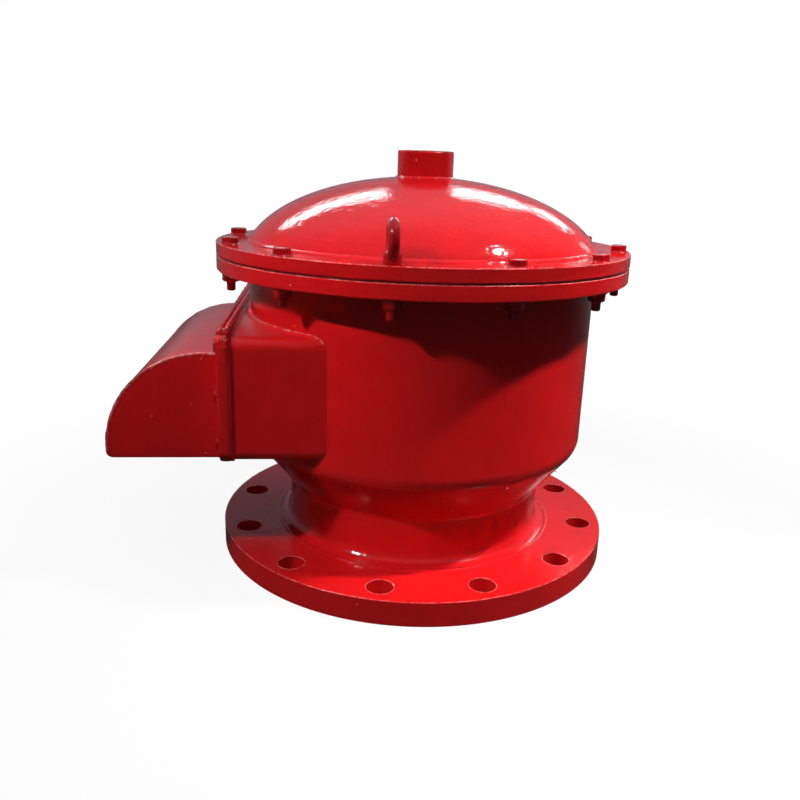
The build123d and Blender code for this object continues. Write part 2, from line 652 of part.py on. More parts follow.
# Pressure pallet: a disc with the vacuum port in its middle
stud_spots = spots((weight_out + weight_in) / 2, circle_angles(WEIGHT_STUD_COUNT))
retainer_spots = spots((retainer_out + retainer_in) / 2, circle_angles(RETAINER_SCREW_COUNT))
retainer_hole = RETAINER_SCREW_D / 2 + WELD_GAP
with BuildPart() as pressure_pallet_plate:
    with BuildSketch(Plane.XY.offset(plate_bottom)):
        Circle(pallet_r)
        Circle(port_r, mode=Mode.SUBTRACT)
        with Locations(*stud_spots):
            Circle(WEIGHT_STUD_D / 2 + WELD_GAP, mode=Mode.SUBTRACT)
        with Locations(*retainer_spots):
            Circle(retainer_hole, mode=Mode.SUBTRACT)
    extrude(amount=PALLET_THICKNESS)
keep(pressure_pallet_plate.part, "pressure_pallet_plate")

# Soft seal of the pressure pallet and the screwed ring that centres it
keep(flat_ring(pallet_r, seal_in, seat_z, SEAL_THICKNESS), "pressure_seal")
retainer_bottom = plate_bottom - RETAINER_THICKNESS
keep(drilled_ring(retainer_out, retainer_in, retainer_bottom, RETAINER_THICKNESS, retainer_spots,
                  retainer_hole), "seal_retainer")
with BuildPart() as retainer_screws:
    with BuildSketch(Plane.XY.offset(retainer_bottom)):
        with Locations(*retainer_spots):
            Circle(RETAINER_SCREW_HEAD_D / 2)
    extrude(amount=-RETAINER_SCREW_HEAD)
    with BuildSketch(Plane.XY.offset(retainer_bottom)):
        with Locations(*retainer_spots):
            Circle(RETAINER_SCREW_D / 2)
    extrude(amount=RETAINER_THICKNESS + PALLET_THICKNESS)
keep(retainer_screws.part, "retainer_screws")

# Loading weights, held on three studs
weight_middle = plate_top + WEIGHT_THICKNESS
stud_hole = WEIGHT_STUD_D / 2 + LOOSE_GAP
keep(drilled_ring(weight_out, weight_in, plate_top, WEIGHT_THICKNESS, stud_spots, stud_hole),
     "weight_lower")
keep(drilled_ring(weight_out, weight_in, weight_middle, WEIGHT_THICKNESS, stud_spots, stud_hole),
     "weight_upper")
weight_top = weight_middle + WEIGHT_THICKNESS
with BuildPart() as weight_studs:
    with BuildSketch(Plane.XY.offset(plate_bottom)):
        with Locations(*stud_spots):
            Circle(WEIGHT_STUD_D / 2)
    extrude(amount=weight_top + WEIGHT_NUT_HEIGHT + WEIGHT_STUD_SPARE - plate_bottom)
keep(weight_studs.part, "weight_studs")
with BuildPart() as weight_nuts:
    with BuildSketch(Plane.XY.offset(weight_top)):
        with Locations(*stud_spots):
            RegularPolygon(WEIGHT_NUT_ACROSS_FLATS / 2, 6, major_radius=False)
            Circle(WEIGHT_STUD_D / 2 + WELD_GAP, mode=Mode.SUBTRACT)
    extrude(amount=WEIGHT_NUT_HEIGHT)
keep(weight_nuts.part, "weight_nuts")

# Vacuum seat: a ring below the plate with its lip downwards
with BuildPart() as vacuum_seat_ring:
    with BuildSketch(Plane.XZ):
        with BuildLine():
            Polyline((port_r, plate_bottom), (vacuum_seat_out, plate_bottom),
                     (vacuum_seat_out - VACUUM_SEAT_BEVEL, vacuum_seat_z),
                     (port_r + VACUUM_SEAT_BEVEL, vacuum_seat_z), close=True)
        make_face()
    revolve(axis=Axis.Z)
keep(vacuum_seat_ring.part, "vacuum_seat_ring")

# Guide spider: a ring on the plate, sloping arms and a hub bored for the vacuum stem
hub_bottom = hub_top - SPIDER_HUB_HEIGHT
spider_ring_top = plate_top + SPIDER_RING_HEIGHT
arm_root = (hub_r + stem_r) / 2
with BuildPart() as guide_spider:
    with BuildSketch(Plane.XY.offset(plate_top)):
        Circle(spider_out)
        Circle(spider_in, mode=Mode.SUBTRACT)
    extrude(amount=SPIDER_RING_HEIGHT)
    with BuildSketch(Plane.XY.offset(hub_bottom)):
        Circle(hub_r)
    extrude(amount=SPIDER_HUB_HEIGHT)
    for angle in circle_angles(SPIDER_ARM_COUNT, 0):
        with BuildSketch(Plane.XZ.rotated((0, 0, angle))):
            with BuildLine():
                Polyline((arm_root, hub_bottom), (hub_r, hub_bottom), (spider_in, plate_top),
                         (spider_out, plate_top), (spider_out, spider_ring_top),
                         (hub_r, hub_top - EDGE_BREAK), (arm_root, hub_top - EDGE_BREAK), close=True)
            make_face()
        extrude(amount=SPIDER_ARM_WIDTH / 2, both=True)
    with BuildSketch(Plane.XY.offset(hub_bottom)):
        Circle(stem_r + RUNNING_GAP)
    extrude(amount=SPIDER_HUB_HEIGHT, mode=Mode.SUBTRACT)
keep(guide_spider.part, "guide_spider")

# Guide sleeve: the tube on the hub that runs in the bush and holds the spring
keep(flat_ring(sleeve_out, sleeve_in, hub_top, sleeve_top - hub_top), "guide_sleeve")

# Vacuum spring: a round-wire coil between the hub and the spring cap, long enough for the pallet's drop
spring_length = (SPRING_TURN_COUNT + 1) * SPRING_WIRE + VACUUM_DROP + SPRING_RESERVE
spring_rise = spring_length - SPRING_WIRE - 2 * WELD_GAP
with BuildPart() as vacuum_spring:
    with BuildLine(Plane.XY.offset(hub_top + SPRING_WIRE / 2 + WELD_GAP)):
        coil = Helix(spring_rise / SPRING_TURN_COUNT, spring_rise, (stem_r + sleeve_in) / 2)
    with BuildSketch(Plane(origin=coil @ 0, z_dir=coil % 0)):
        Circle(SPRING_WIRE / 2)
    sweep(is_frenet=True)
keep(vacuum_spring.part, "vacuum_spring")

# Vacuum pallet: disc, soft seal and clamp disc, held on the stem by a nut
keep(flat_ring(vacuum_pallet_r, stem_r + WELD_GAP, vacuum_plate_bottom, VACUUM_PALLET_THICKNESS),
     "vacuum_pallet_plate")
keep(flat_ring(vacuum_pallet_r, vacuum_seal_in, vacuum_plate_top, VACUUM_SEAL_THICKNESS), "vacuum_seal")
with BuildPart() as vacuum_clamp_disc:
    with BuildSketch(Plane.XZ):
        with BuildLine():
            clamp_in = stem_r + WELD_GAP
            clamp_hub = vacuum_seal_in - LOOSE_GAP
            clamp_out = port_r - VACUUM_CLAMP_FROM_PORT
            clamp_top = vacuum_seat_z + VACUUM_CLAMP_THICKNESS
            Polyline((clamp_in, vacuum_plate_top), (clamp_hub, vacuum_plate_top),
                     (clamp_hub, vacuum_seat_z), (clamp_out, vacuum_seat_z),
                     (clamp_out, clamp_top), (clamp_in, clamp_top), close=True)
        make_face()
    revolve(axis=Axis.Z)
keep(vacuum_clamp_disc.part, "vacuum_clamp_disc")

# Vacuum stem: headed below the pallet, guided in the hub, threaded at its top
spring_cap_bottom = hub_top + spring_length
spring_nut_bottom = spring_cap_bottom + SPRING_CAP_THICKNESS
stem_top = spring_nut_bottom + STEM_NUT_HEIGHT + STEM_SPARE
with BuildPart() as vacuum_stem:
    with BuildSketch(Plane.XY.offset(vacuum_plate_bottom - STEM_HEAD_HEIGHT)):
        Circle(STEM_HEAD_D / 2)
    extrude(amount=STEM_HEAD_HEIGHT)
    with BuildSketch(Plane.XY.offset(vacuum_plate_bottom)):
        Circle(stem_r)
    extrude(amount=stem_top - vacuum_plate_bottom)
keep(vacuum_stem.part, "vacuum_stem")


def stem_nut(bottom):
    """A hexagon nut on the vacuum stem."""
    with BuildPart() as nut:
        with BuildSketch(Plane.XY.offset(bottom)):
            RegularPolygon(STEM_NUT_ACROSS_FLATS / 2, 6, major_radius=False)
            Circle(stem_r + WELD_GAP, mode=Mode.SUBTRACT)
        extrude(amount=STEM_NUT_HEIGHT)
    return nut.part


keep(stem_nut(clamp_top), "vacuum_clamp_nut")
cap_out = sleeve_in - SPRING_CAP_PLAY
keep(flat_ring(cap_out, stem_r + WELD_GAP, spring_cap_bottom, SPRING_CAP_THICKNESS), "spring_cap")
keep(stem_nut(spring_nut_bottom), "spring_nut")
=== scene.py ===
import bmesh
import bpy
import math
from mathutils import Matrix, Vector


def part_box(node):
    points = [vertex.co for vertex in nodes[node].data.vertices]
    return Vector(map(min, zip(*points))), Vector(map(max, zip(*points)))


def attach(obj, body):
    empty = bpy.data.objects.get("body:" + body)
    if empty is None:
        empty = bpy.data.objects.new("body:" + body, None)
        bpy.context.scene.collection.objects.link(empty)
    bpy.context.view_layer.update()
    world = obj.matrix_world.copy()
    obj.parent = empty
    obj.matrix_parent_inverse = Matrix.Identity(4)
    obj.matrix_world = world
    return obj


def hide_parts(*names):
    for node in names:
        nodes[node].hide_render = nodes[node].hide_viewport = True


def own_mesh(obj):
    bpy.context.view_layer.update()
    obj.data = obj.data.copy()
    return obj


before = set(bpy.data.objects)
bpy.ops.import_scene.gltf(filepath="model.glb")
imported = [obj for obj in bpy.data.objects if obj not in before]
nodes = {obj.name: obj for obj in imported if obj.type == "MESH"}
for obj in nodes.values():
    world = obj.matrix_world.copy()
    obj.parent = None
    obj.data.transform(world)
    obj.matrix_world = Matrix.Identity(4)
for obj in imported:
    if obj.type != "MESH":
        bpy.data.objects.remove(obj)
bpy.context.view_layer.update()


# Tank flange: a round steel plate, flame cut, faced and drilled for twelve studs.
# It has the same thick red alkyd enamel as the whole housing, laid on with a brush: the gloss is
# high, and the marks of the bristles, slow sags and specks of dust break up every highlight.
def linear_colour(hex_code):
    channels = [int(hex_code[k:k + 2], 16) / 255 for k in (0, 2, 4)]
    return [c / 12.92 if c <= 0.04045 else ((c + 0.055) / 1.055) ** 2.4 for c in channels] + [1.0]


def add(tree, kind, settings=None, links=None):
    """Add a node, set its properties or its inputs, and link its inputs to sockets."""
    node = tree.nodes.new(kind)
    for name, value in (settings or {}).items():
        if isinstance(name, str) and hasattr(node, name):
            setattr(node, name, value)
        else:
            node.inputs[name].default_value = value
    for name, socket in (links or {}).items():
        tree.links.new(socket, node.inputs[name])
    return node


def new_material(name):
    """A material that holds only a Principled shader and its output."""
    material = bpy.data.materials.new(name)
    material.use_nodes = True
    tree = material.node_tree
    tree.nodes.clear()
    shader = add(tree, "ShaderNodeBsdfPrincipled")
    add(tree, "ShaderNodeOutputMaterial", links={"Surface": shader.outputs["BSDF"]})
    return material, tree, shader


def dress(material, *names):
    for name in names:
        nodes[name].data.materials.clear()
        nodes[name].data.materials.append(material)


def stack_bumps(tree, shader, heights):
    """Add the bumps of a surface one on another; each is a height and its depth in millimetres."""
    normal = None
    for height, depth in heights:
        links = {"Height": height}
        if normal:
            links["Normal"] = normal
        normal = add(tree, "ShaderNodeBump", {"Strength": 1.0, "Distance": depth / 1000},
                     links).outputs["Normal"]
    tree.links.new(normal, shader.inputs["Normal"])


def millimetre_place(tree):
    place = add(tree, "ShaderNodeTexCoord").outputs["Object"]
    return add(tree, "ShaderNodeVectorMath", {"operation": "SCALE", "Scale": 1000.0},
               {0: place}).outputs["Vector"]


def round_place(tree, position, turns_to_mm):
    """Coordinates that follow a turned piece: along the turn, outwards, and up."""
    axes = add(tree, "ShaderNodeSeparateXYZ", links={0: position})
    angle = add(tree, "ShaderNodeMath", {"operation": "ARCTAN2"}, {
        0: axes.outputs["Y"], 1: axes.outputs["X"]})
    along = add(tree, "ShaderNodeMath", {"operation": "MULTIPLY", 1: turns_to_mm}, {0: angle.outputs[0]})
    flat = add(tree, "ShaderNodeVectorMath", {"operation": "MULTIPLY", 1: (1.0, 1.0, 0.0)}, {0: position})
    radius = add(tree, "ShaderNodeVectorMath", {"operation": "LENGTH"}, {0: flat.outputs["Vector"]})
    return add(tree, "ShaderNodeCombineXYZ", links={
        "X": along.outputs[0], "Y": radius.outputs["Value"], "Z": axes.outputs["Z"]}).outputs["Vector"]


def red_enamel(name, round_the_axis, stroke, mark_depth, peel_depth, shades=("EA1A1D", "DC181B")):
    """Brushed gloss enamel. stroke is the number of brush marks for each millimetre, along each axis.

    Sags are 28 mm long, the orange peel is 6 mm across, and about one cell of 11 mm in five holds a
    speck of dust under the paint, 1 mm across. Each speck stands up as a bump and is tinted pale: the
    pale tint is a painted highlight, for the glint that a dust nib catches.
    """
    material, tree, shader = new_material(name)
    position = millimetre_place(tree)
    drawn = round_place(tree, position, 150.0) if round_the_axis else position
    marks_place = add(tree, "ShaderNodeVectorMath", {"operation": "MULTIPLY", 1: stroke}, {0: drawn})
    marks = add(tree, "ShaderNodeTexNoise", {"Scale": 1.0, "Detail": 3.0, "Roughness": 0.6},
                {"Vector": marks_place.outputs["Vector"]})
    sags = add(tree, "ShaderNodeTexNoise", {"Scale": 1 / 28, "Detail": 1.0}, {"Vector": position})
    peel = add(tree, "ShaderNodeTexNoise", {"Scale": 1 / 6, "Detail": 2.0}, {"Vector": position})
    dust = add(tree, "ShaderNodeTexVoronoi", {"Scale": 1 / 11}, {"Vector": position})
    grain = add(tree, "ShaderNodeMapRange",
                {"interpolation_type": "SMOOTHSTEP", "From Min": 0.065, "From Max": 0.03},
                {"Value": dust.outputs["Distance"]})
    chosen = add(tree, "ShaderNodeSeparateColor", links={0: dust.outputs["Color"]})
    kept = add(tree, "ShaderNodeMath", {"operation": "GREATER_THAN", 1: 0.78}, {0: chosen.outputs[0]})
    speck = add(tree, "ShaderNodeMath", {"operation": "MULTIPLY"}, {
        0: grain.outputs["Result"], 1: kept.outputs[0]})
    stack_bumps(tree, shader, [(sags.outputs["Fac"], 0.30), (peel.outputs["Fac"], peel_depth),
                               (marks.outputs["Fac"], mark_depth), (speck.outputs[0], 0.35)])
    light, dark = (linear_colour(shade) for shade in shades)
    coat = add(tree, "ShaderNodeMix", {"data_type": "RGBA", "A": light, "B": dark}, {
        "Factor": sags.outputs["Fac"]})
    # Pale tint on each dust speck: a painted highlight, for the glint that the speck's nib catches
    tint = add(tree, "ShaderNodeMix", {"data_type": "RGBA", "B": linear_colour("F0A8A0")},
               {"Factor": speck.outputs[0], "A": coat.outputs["Result"]})
    tree.links.new(tint.outputs["Result"], shader.inputs["Base Color"])
    shader.inputs["Roughness"].default_value = 0.09
    shader.inputs["IOR"].default_value = 1.5
    return material


# Brush marks 3 mm apart, drawn out round the axis, so that highlights break up into short dashes
enamel_turned = red_enamel("red_enamel_brushed_round", True, (0.035, 0.32, 0.32), 0.20, 0.32)
dress(enamel_turned, "base_flange")

# Nozzle: a rolled tube of 6 mm plate, welded to the flange with a hollow fillet that is ground and
# painted over. A low bead runs round its toe, where the grinder stopped. The tube goes up inside the
# body to the collar that carries the seat.
nozzle_radius = 0.131
toe_radius = 0.1435
flange_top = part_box("base_flange")[1].z
dress(enamel_turned, "nozzle_tube", "nozzle_collar")


def socket_kind(value):
    if isinstance(value, bool):
        return "NodeSocketBool"
    if isinstance(value, int):
        return "NodeSocketInt"
    if isinstance(value, float):
        return "NodeSocketFloat"
    return "NodeSocketMaterial" if isinstance(value, bpy.types.Material) else "NodeSocketObject"


def geometry_tree(name, sizes):
    """An empty geometry tree with an input for each size. Returns the tree, its inputs and its output."""
    tree = bpy.data.node_groups.new(name, "GeometryNodeTree")
    tree.interface.new_socket("Geometry", in_out="INPUT", socket_type="NodeSocketGeometry")
    for label, value in sizes.items():
        tree.interface.new_socket(label, in_out="INPUT", socket_type=socket_kind(value))
    tree.interface.new_socket("Geometry", in_out="OUTPUT", socket_type="NodeSocketGeometry")
    return tree, add(tree, "NodeGroupInput").outputs, add(tree, "NodeGroupOutput").inputs


def finish_tree(tree, given, result, geometry):
    """End a geometry tree: real mesh, smooth faces and its material."""
    real = add(tree, "GeometryNodeRealizeInstances", links={"Geometry": geometry})
    smooth = add(tree, "GeometryNodeSetShadeSmooth", links={"Geometry": real.outputs["Geometry"]})
    painted = add(tree, "GeometryNodeSetMaterial", links={
        "Geometry": smooth.outputs["Geometry"], "Material": given["Material"]})
    tree.links.new(painted.outputs["Geometry"], result["Geometry"])


def grow(name, tree, source, sizes):
    """Run a geometry tree on a source mesh and keep what it makes as one plain mesh."""
    holder = bpy.data.objects.new(name + "_source", source)
    bpy.context.scene.collection.objects.link(holder)
    modifier = holder.modifiers.new("grow", "NODES")
    modifier.node_group = tree
    for item in tree.interface.items_tree:
        if item.in_out == "INPUT" and item.name in sizes:
            modifier[item.identifier] = sizes[item.name]
    depsgraph = bpy.context.evaluated_depsgraph_get()
    mesh = bpy.data.meshes.new_from_object(holder.evaluated_get(depsgraph), depsgraph=depsgraph)
    bpy.data.objects.remove(holder)
    piece = bpy.data.objects.new(name, mesh)
    bpy.context.scene.collection.objects.link(piece)
    return piece


def path_mesh(points, outwards, closed, runs=1):
    """Lines of edges through points, in so many equal runs. Each point carries its outward direction."""
    mesh = bpy.data.meshes.new("path")
    count = len(points) // runs
    edges = []
    for start in range(0, len(points), count):
        edges += [(start + k, start + k + 1) for k in range(count - 1)]
        edges += [(start + count - 1, start)] if closed else []
    mesh.from_pydata(points, edges, [])
    facing = mesh.attributes.new("facing", "FLOAT_VECTOR", "POINT")
    for k, direction in enumerate(outwards):
        facing.data[k].vector = direction
    return mesh


def ring_path(radius, height, tilt=0.0, count=180):
    """A circle about the valve's axis. Its outward direction is tilted up by so many degrees."""
    level, rise = math.cos(math.radians(tilt)), math.sin(math.radians(tilt))
    turns = [(math.cos(math.tau * k / count), math.sin(math.tau * k / count)) for k in range(count)]
    return path_mesh([(radius * x, radius * y, height) for x, y in turns],
                     [(level * x, level * y, rise) for x, y in turns], True)


# Weld bead: a run of overlapping pools along a path, half sunk in its corner, softened by the paint.
# Its width wanders in waves of about 8 mm.
bead_sizes = {"Rise": 0.002, "Width": 0.003, "Pool Length": 0.004, "Pool Depth": 0.15, "Waviness": 0.4,
              "Seed": 1.0, "Material": enamel_turned}
bead_tree, given, result = geometry_tree("weld_bead", bead_sizes)
line = add(bead_tree, "GeometryNodeMeshToCurve", links={"Mesh": given["Geometry"]})
step = add(bead_tree, "ShaderNodeMath", {"operation": "MULTIPLY", 1: 0.25}, {0: given["Pool Length"]})
fine_line = add(bead_tree, "GeometryNodeResampleCurve", {"mode": "LENGTH"}, {
    "Curve": line.outputs["Curve"], "Length": step.outputs[0]})
outward = add(bead_tree, "GeometryNodeInputNamedAttribute", {"data_type": "FLOAT_VECTOR", "Name": "facing"})
turned_line = add(bead_tree, "GeometryNodeSetCurveNormal", {"mode": "FREE"}, {
    "Curve": fine_line.outputs["Curve"], "Normal": outward.outputs["Attribute"]})
run = add(bead_tree, "GeometryNodeSplineParameter")
pool_place = add(bead_tree, "ShaderNodeMath", {"operation": "DIVIDE"}, {
    0: run.outputs["Length"], 1: given["Pool Length"]})
pool_phase = add(bead_tree, "ShaderNodeMath", {"operation": "FRACT"}, {0: pool_place.outputs[0]})
pool_slope = add(bead_tree, "ShaderNodeMath", {"operation": "MULTIPLY"}, {
    0: pool_phase.outputs[0], 1: given["Pool Depth"]})
spot = add(bead_tree, "GeometryNodeInputPosition")
waves = add(bead_tree, "ShaderNodeTexNoise", {"noise_dimensions": "4D", "Scale": 130.0, "Detail": 2.0}, {
    "Vector": spot.outputs["Position"], "W": given["Seed"]})
wave_swing = add(
    bead_tree, "ShaderNodeMapRange", {"From Min": 0.3, "From Max": 0.7, "To Min": -1.0, "To Max": 1.0},
    {"Value": waves.outputs["Fac"]})
wave_size = add(bead_tree, "ShaderNodeMath", {"operation": "MULTIPLY"}, {
    0: wave_swing.outputs["Result"], 1: given["Waviness"]})
swell = add(bead_tree, "ShaderNodeMath", {"operation": "ADD"}, {
    0: wave_size.outputs[0], 1: pool_slope.outputs[0]})
girth = add(bead_tree, "ShaderNodeMath", {"operation": "ADD", 1: 1.0}, {0: swell.outputs[0]})
circle = add(bead_tree, "GeometryNodeCurvePrimitiveCircle", {"Resolution": 12, "Radius": 1.0})
oval_size = add(bead_tree, "ShaderNodeCombineXYZ", {"Z": 1.0}, {"X": given["Rise"], "Y": given["Width"]})
oval = add(bead_tree, "GeometryNodeTransform", links={
    "Geometry": circle.outputs["Curve"], "Scale": oval_size.outputs["Vector"]})
bead = add(bead_tree, "GeometryNodeCurveToMesh", {"Fill Caps": True}, {
    "Curve": turned_line.outputs["Curve"], "Profile Curve": oval.outputs["Geometry"],
    "Scale": girth.outputs[0]})
finish_tree(bead_tree, given, result, bead.outputs["Mesh"])


def weld(name, path, body="housing", slot="red_enamel", **sizes):
    """Lay a bead along a path, on the housing unless another body is named."""
    chosen = dict(bead_sizes)
    chosen.update({label.replace("_", " "): value for label, value in sizes.items()})
    piece = grow(name, bead_tree, path, chosen)
    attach(piece, body)
    return piece


weld("weld_nozzle_toe", ring_path(toe_radius, flange_top), Rise=0.0022, Width=0.0008, Pool_Depth=0.0,
     Waviness=0.25, Seed=1.0)

# Edges of the flange: the same enamel, drawn thin where it pulls back from a sharp edge, and tinted
# pale in patches of 4 mm. The pale tint is partly thin paint and partly a painted highlight, for the
# light that a rounded edge catches, so a broken light thread runs round the rim and each of the holes.
thin_paint_and_highlight, tree, shader = new_material("thin_enamel_and_painted_highlight_on_edges")
position = millimetre_place(tree)
pale_patches = add(tree, "ShaderNodeTexNoise", {"Scale": 1 / 4, "Detail": 3.0, "Roughness": 0.7}, {
    "Vector": position})
pale_share = add(tree, "ShaderNodeMapRange", {"From Min": 0.4, "From Max": 0.65}, {
    "Value": pale_patches.outputs["Fac"]})
pale_edge_and_highlight_tint = add(
    tree, "ShaderNodeMix", {"data_type": "RGBA", "A": linear_colour("DA3A38"), "B": linear_colour("EC8C84")},
    {"Factor": pale_share.outputs["Result"]})
tree.links.new(pale_edge_and_highlight_tint.outputs["Result"], shader.inputs["Base Color"])
shader.inputs["Roughness"].default_value = 0.2
shader.inputs["IOR"].default_value = 1.5
stack_bumps(tree, shader, [(pale_patches.outputs["Fac"], 0.1)])


def edge_thread(name, path, thickness=0.0005, seed=30.0):
    """A thread of pale paint along an edge: thin enamel, tinted pale as a painted highlight."""
    weld(name, path, Rise=thickness, Width=thickness, Pool_Length=0.006, Pool_Depth=0.0, Waviness=0.3,
         Seed=seed, Material=thin_paint_and_highlight)


flange_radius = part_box("base_flange")[1].x
edge_thread("edge_flange", ring_path(flange_radius - 0.0008, flange_top - 0.0006, 45.0, 360))
hole_circle = 0.1775
hole_radius = 0.0127


def circle_places(radius, height, count, turn=0.0, skip=()):
    angles = [math.tau * (k + 0.5) / count + turn for k in range(count) if k not in skip]
    return [(radius * math.cos(a), radius * math.sin(a), height) for a in angles]


def small_rings(middles, radius, facing=None):
    """A ring of 32 points round each of the places. Its points face away from it, or all face one way."""
    turns = [(math.cos(math.tau * k / 32), math.sin(math.tau * k / 32)) for k in range(32)]
    return path_mesh([(x + radius * c, y + radius * s, z) for x, y, z in middles for c, s in turns],
                     [facing or (c, s, 0.0) for _ in middles for c, s in turns], True, len(middles))


edge_thread("edge_holes", small_rings(circle_places(hole_circle, flange_top - 0.0002, 12), hole_radius),
            0.0004, 31.0)

# Body: a cone turned into a cylinder, rolled from 6 mm plate. The cone is welded round the nozzle,
# and the knuckle's seam round the cone's top is welded and dressed, with a few sharp nibs left.
# Its enamel is laid on smoother than the cover's, so it mirrors the lamps in long clean bands.
cone_foot_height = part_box("body_shell")[0].z
body_radius = 0.169
seam_radius = 0.1640
seam_height = 0.1100
enamel_body = red_enamel("red_enamel_brushed_body", True, (0.03, 0.40, 0.25), 0.06, 0.15)
dress(enamel_body, "body_shell")
weld("weld_cone_foot", ring_path(nozzle_radius, cone_foot_height, -19.4), Rise=0.0009, Width=0.0045,
     Pool_Length=0.007, Pool_Depth=0.08, Waviness=0.15, Seed=2.0)

# Weld nibs: spatter and dried skin of paint that stand up along the seams; some are tinted pale as painted
# highlights
nib_sizes = {"Count": 60, "Spread": 0.003, "Smallest": 0.0004, "Largest": 0.0011, "Seed": 1,
             "Material": enamel_turned}
nib_tree, given, result = geometry_tree("weld_nibs", nib_sizes)
line = add(nib_tree, "GeometryNodeMeshToCurve", links={"Mesh": given["Geometry"]})
places = add(nib_tree, "GeometryNodeResampleCurve", {"mode": "COUNT"}, {
    "Curve": line.outputs["Curve"], "Count": given["Count"]})
less = add(nib_tree, "ShaderNodeMath", {"operation": "MULTIPLY", 1: -1.0}, {0: given["Spread"]})
least = add(nib_tree, "ShaderNodeCombineXYZ", links={axis: less.outputs[0] for axis in range(3)})
most = add(nib_tree, "ShaderNodeCombineXYZ", links={axis: given["Spread"] for axis in range(3)})
drift = add(nib_tree, "FunctionNodeRandomValue", {"data_type": "FLOAT_VECTOR"}, {
    0: least.outputs[0], 1: most.outputs[0], "Seed": given["Seed"]})
outward = add(nib_tree, "GeometryNodeInputNamedAttribute", {"data_type": "FLOAT_VECTOR", "Name": "facing"})
drift_out = add(nib_tree, "ShaderNodeVectorMath", {"operation": "DOT_PRODUCT"}, {
    0: drift.outputs[0], 1: outward.outputs["Attribute"]})
away = add(nib_tree, "ShaderNodeVectorMath", {"operation": "SCALE"}, {
    0: outward.outputs["Attribute"], "Scale": drift_out.outputs["Value"]})
slide = add(nib_tree, "ShaderNodeVectorMath", {"operation": "SUBTRACT"}, {
    0: drift.outputs[0], 1: away.outputs[0]})
strewn = add(nib_tree, "GeometryNodeSetPosition", links={
    "Geometry": places.outputs["Curve"], "Offset": slide.outputs["Vector"]})
drop = add(nib_tree, "GeometryNodeMeshIcoSphere", {"Radius": 1.0, "Subdivisions": 2})
nib_size = add(nib_tree, "FunctionNodeRandomValue", {"data_type": "FLOAT"}, {
    2: given["Smallest"], 3: given["Largest"], "Seed": given["Seed"]})
nibs = add(nib_tree, "GeometryNodeInstanceOnPoints", links={
    "Points": strewn.outputs["Geometry"], "Instance": drop.outputs["Mesh"], "Scale": nib_size.outputs[1]})
finish_tree(nib_tree, given, result, nibs.outputs["Instances"])


def grained_finish(name, tones, scale, detail, depth, roughness, metallic=0.0, ior=None, harshness=0.5,
                   round_the_axis=False):
    """A finish in two tones. Its grain, with so many grains for each millimetre, also stands up a little."""
    material, tree, shader = new_material(name)
    position = millimetre_place(tree)
    drawn = round_place(tree, position, 20.0) if round_the_axis else position
    grain = add(tree, "ShaderNodeTexNoise", {"Scale": scale, "Detail": detail, "Roughness": harshness}, {
        "Vector": drawn})
    light, dark = (linear_colour(tone) for tone in tones)
    tint = add(tree, "ShaderNodeMix", {"data_type": "RGBA", "A": light, "B": dark}, {
        "Factor": grain.outputs["Fac"]})
    tree.links.new(tint.outputs["Result"], shader.inputs["Base Color"])
    shader.inputs["Roughness"].default_value = roughness
    shader.inputs["Metallic"].default_value = metallic
    if ior:
        shader.inputs["IOR"].default_value = ior
    stack_bumps(tree, shader, [(grain.outputs["Fac"], depth)])
    return material


# Nibs of enamel over dust and spatter, tinted paler than the enamel: the pale tint is a painted
# highlight, for the glint each nib catches, so each nib shows as a light speck. Its crumbs are half a
# millimetre across.
pale_nib_highlight_paint = grained_finish("pale_painted_highlight_on_nibs", ("F4D8D2", "D83A38"), 2.0, 2.0, 0.15, 0.25, ior=1.5)


def strew_nibs(name, path, material, **sizes):
    """Strew nibs on both sides of a path on the housing."""
    chosen = dict(nib_sizes)
    chosen.update({label.replace("_", " "): value for label, value in sizes.items()})
    chosen["Material"] = material
    piece = grow(name, nib_tree, path, chosen)
    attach(piece, "housing")


strew_nibs("nibs_cone_foot", ring_path(nozzle_radius + 0.0008, cone_foot_height), enamel_turned, Count=46,
           Spread=0.005, Largest=0.0008, Seed=4)
strew_nibs("nibs_knuckle", ring_path(seam_radius, seam_height), enamel_turned, Count=60, Spread=0.003,
           Largest=0.0007, Seed=5)
strew_nibs("pale_nibs_knuckle", ring_path(seam_radius + 0.0002, seam_height), pale_nib_highlight_paint, Count=22,
           Spread=0.004, Largest=0.0006, Seed=6)

# Body and cover rings: two steel rings cut from plate, one slipped over the body and one below
# the cover, each with a fillet weld. The gasket between them is painted over with the rest.
ring_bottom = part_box("body_flange_ring")[0].z
ring_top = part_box("cover_flange_ring")[1].z
ring_radius = 0.200
dress(enamel_turned, "body_flange_ring", "cover_flange_ring")
# The same enamel, darkened in the groove between the rings as painted shade in the recess, and dull: a dark
# line without shine
groove_shade_paint = red_enamel("red_enamel_darkened_in_groove", True, (0.03, 0.55, 0.55), 0.05, 0.10,
                          ("8A0A0E", "70080C"))
groove_shader = groove_shade_paint.node_tree.nodes["Principled BSDF"]
groove_shader.inputs["Roughness"].default_value = 0.5
dress(groove_shade_paint, "cover_gasket", "seat_gasket")
weld("weld_body_ring", ring_path(body_radius, ring_bottom, -45.0), Rise=0.0030, Width=0.0040,
     Pool_Length=0.006, Pool_Depth=0.1, Waviness=0.2, Seed=7.0)
for name, upper_face, seed in (("edge_cover_ring", ring_top, 45.0),
                               ("edge_body_ring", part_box("body_flange_ring")[1].z, 46.0)):
    edge_thread(name, ring_path(ring_radius - 0.0009, upper_face - 0.0006, 45.0, 360), 0.0006, seed)

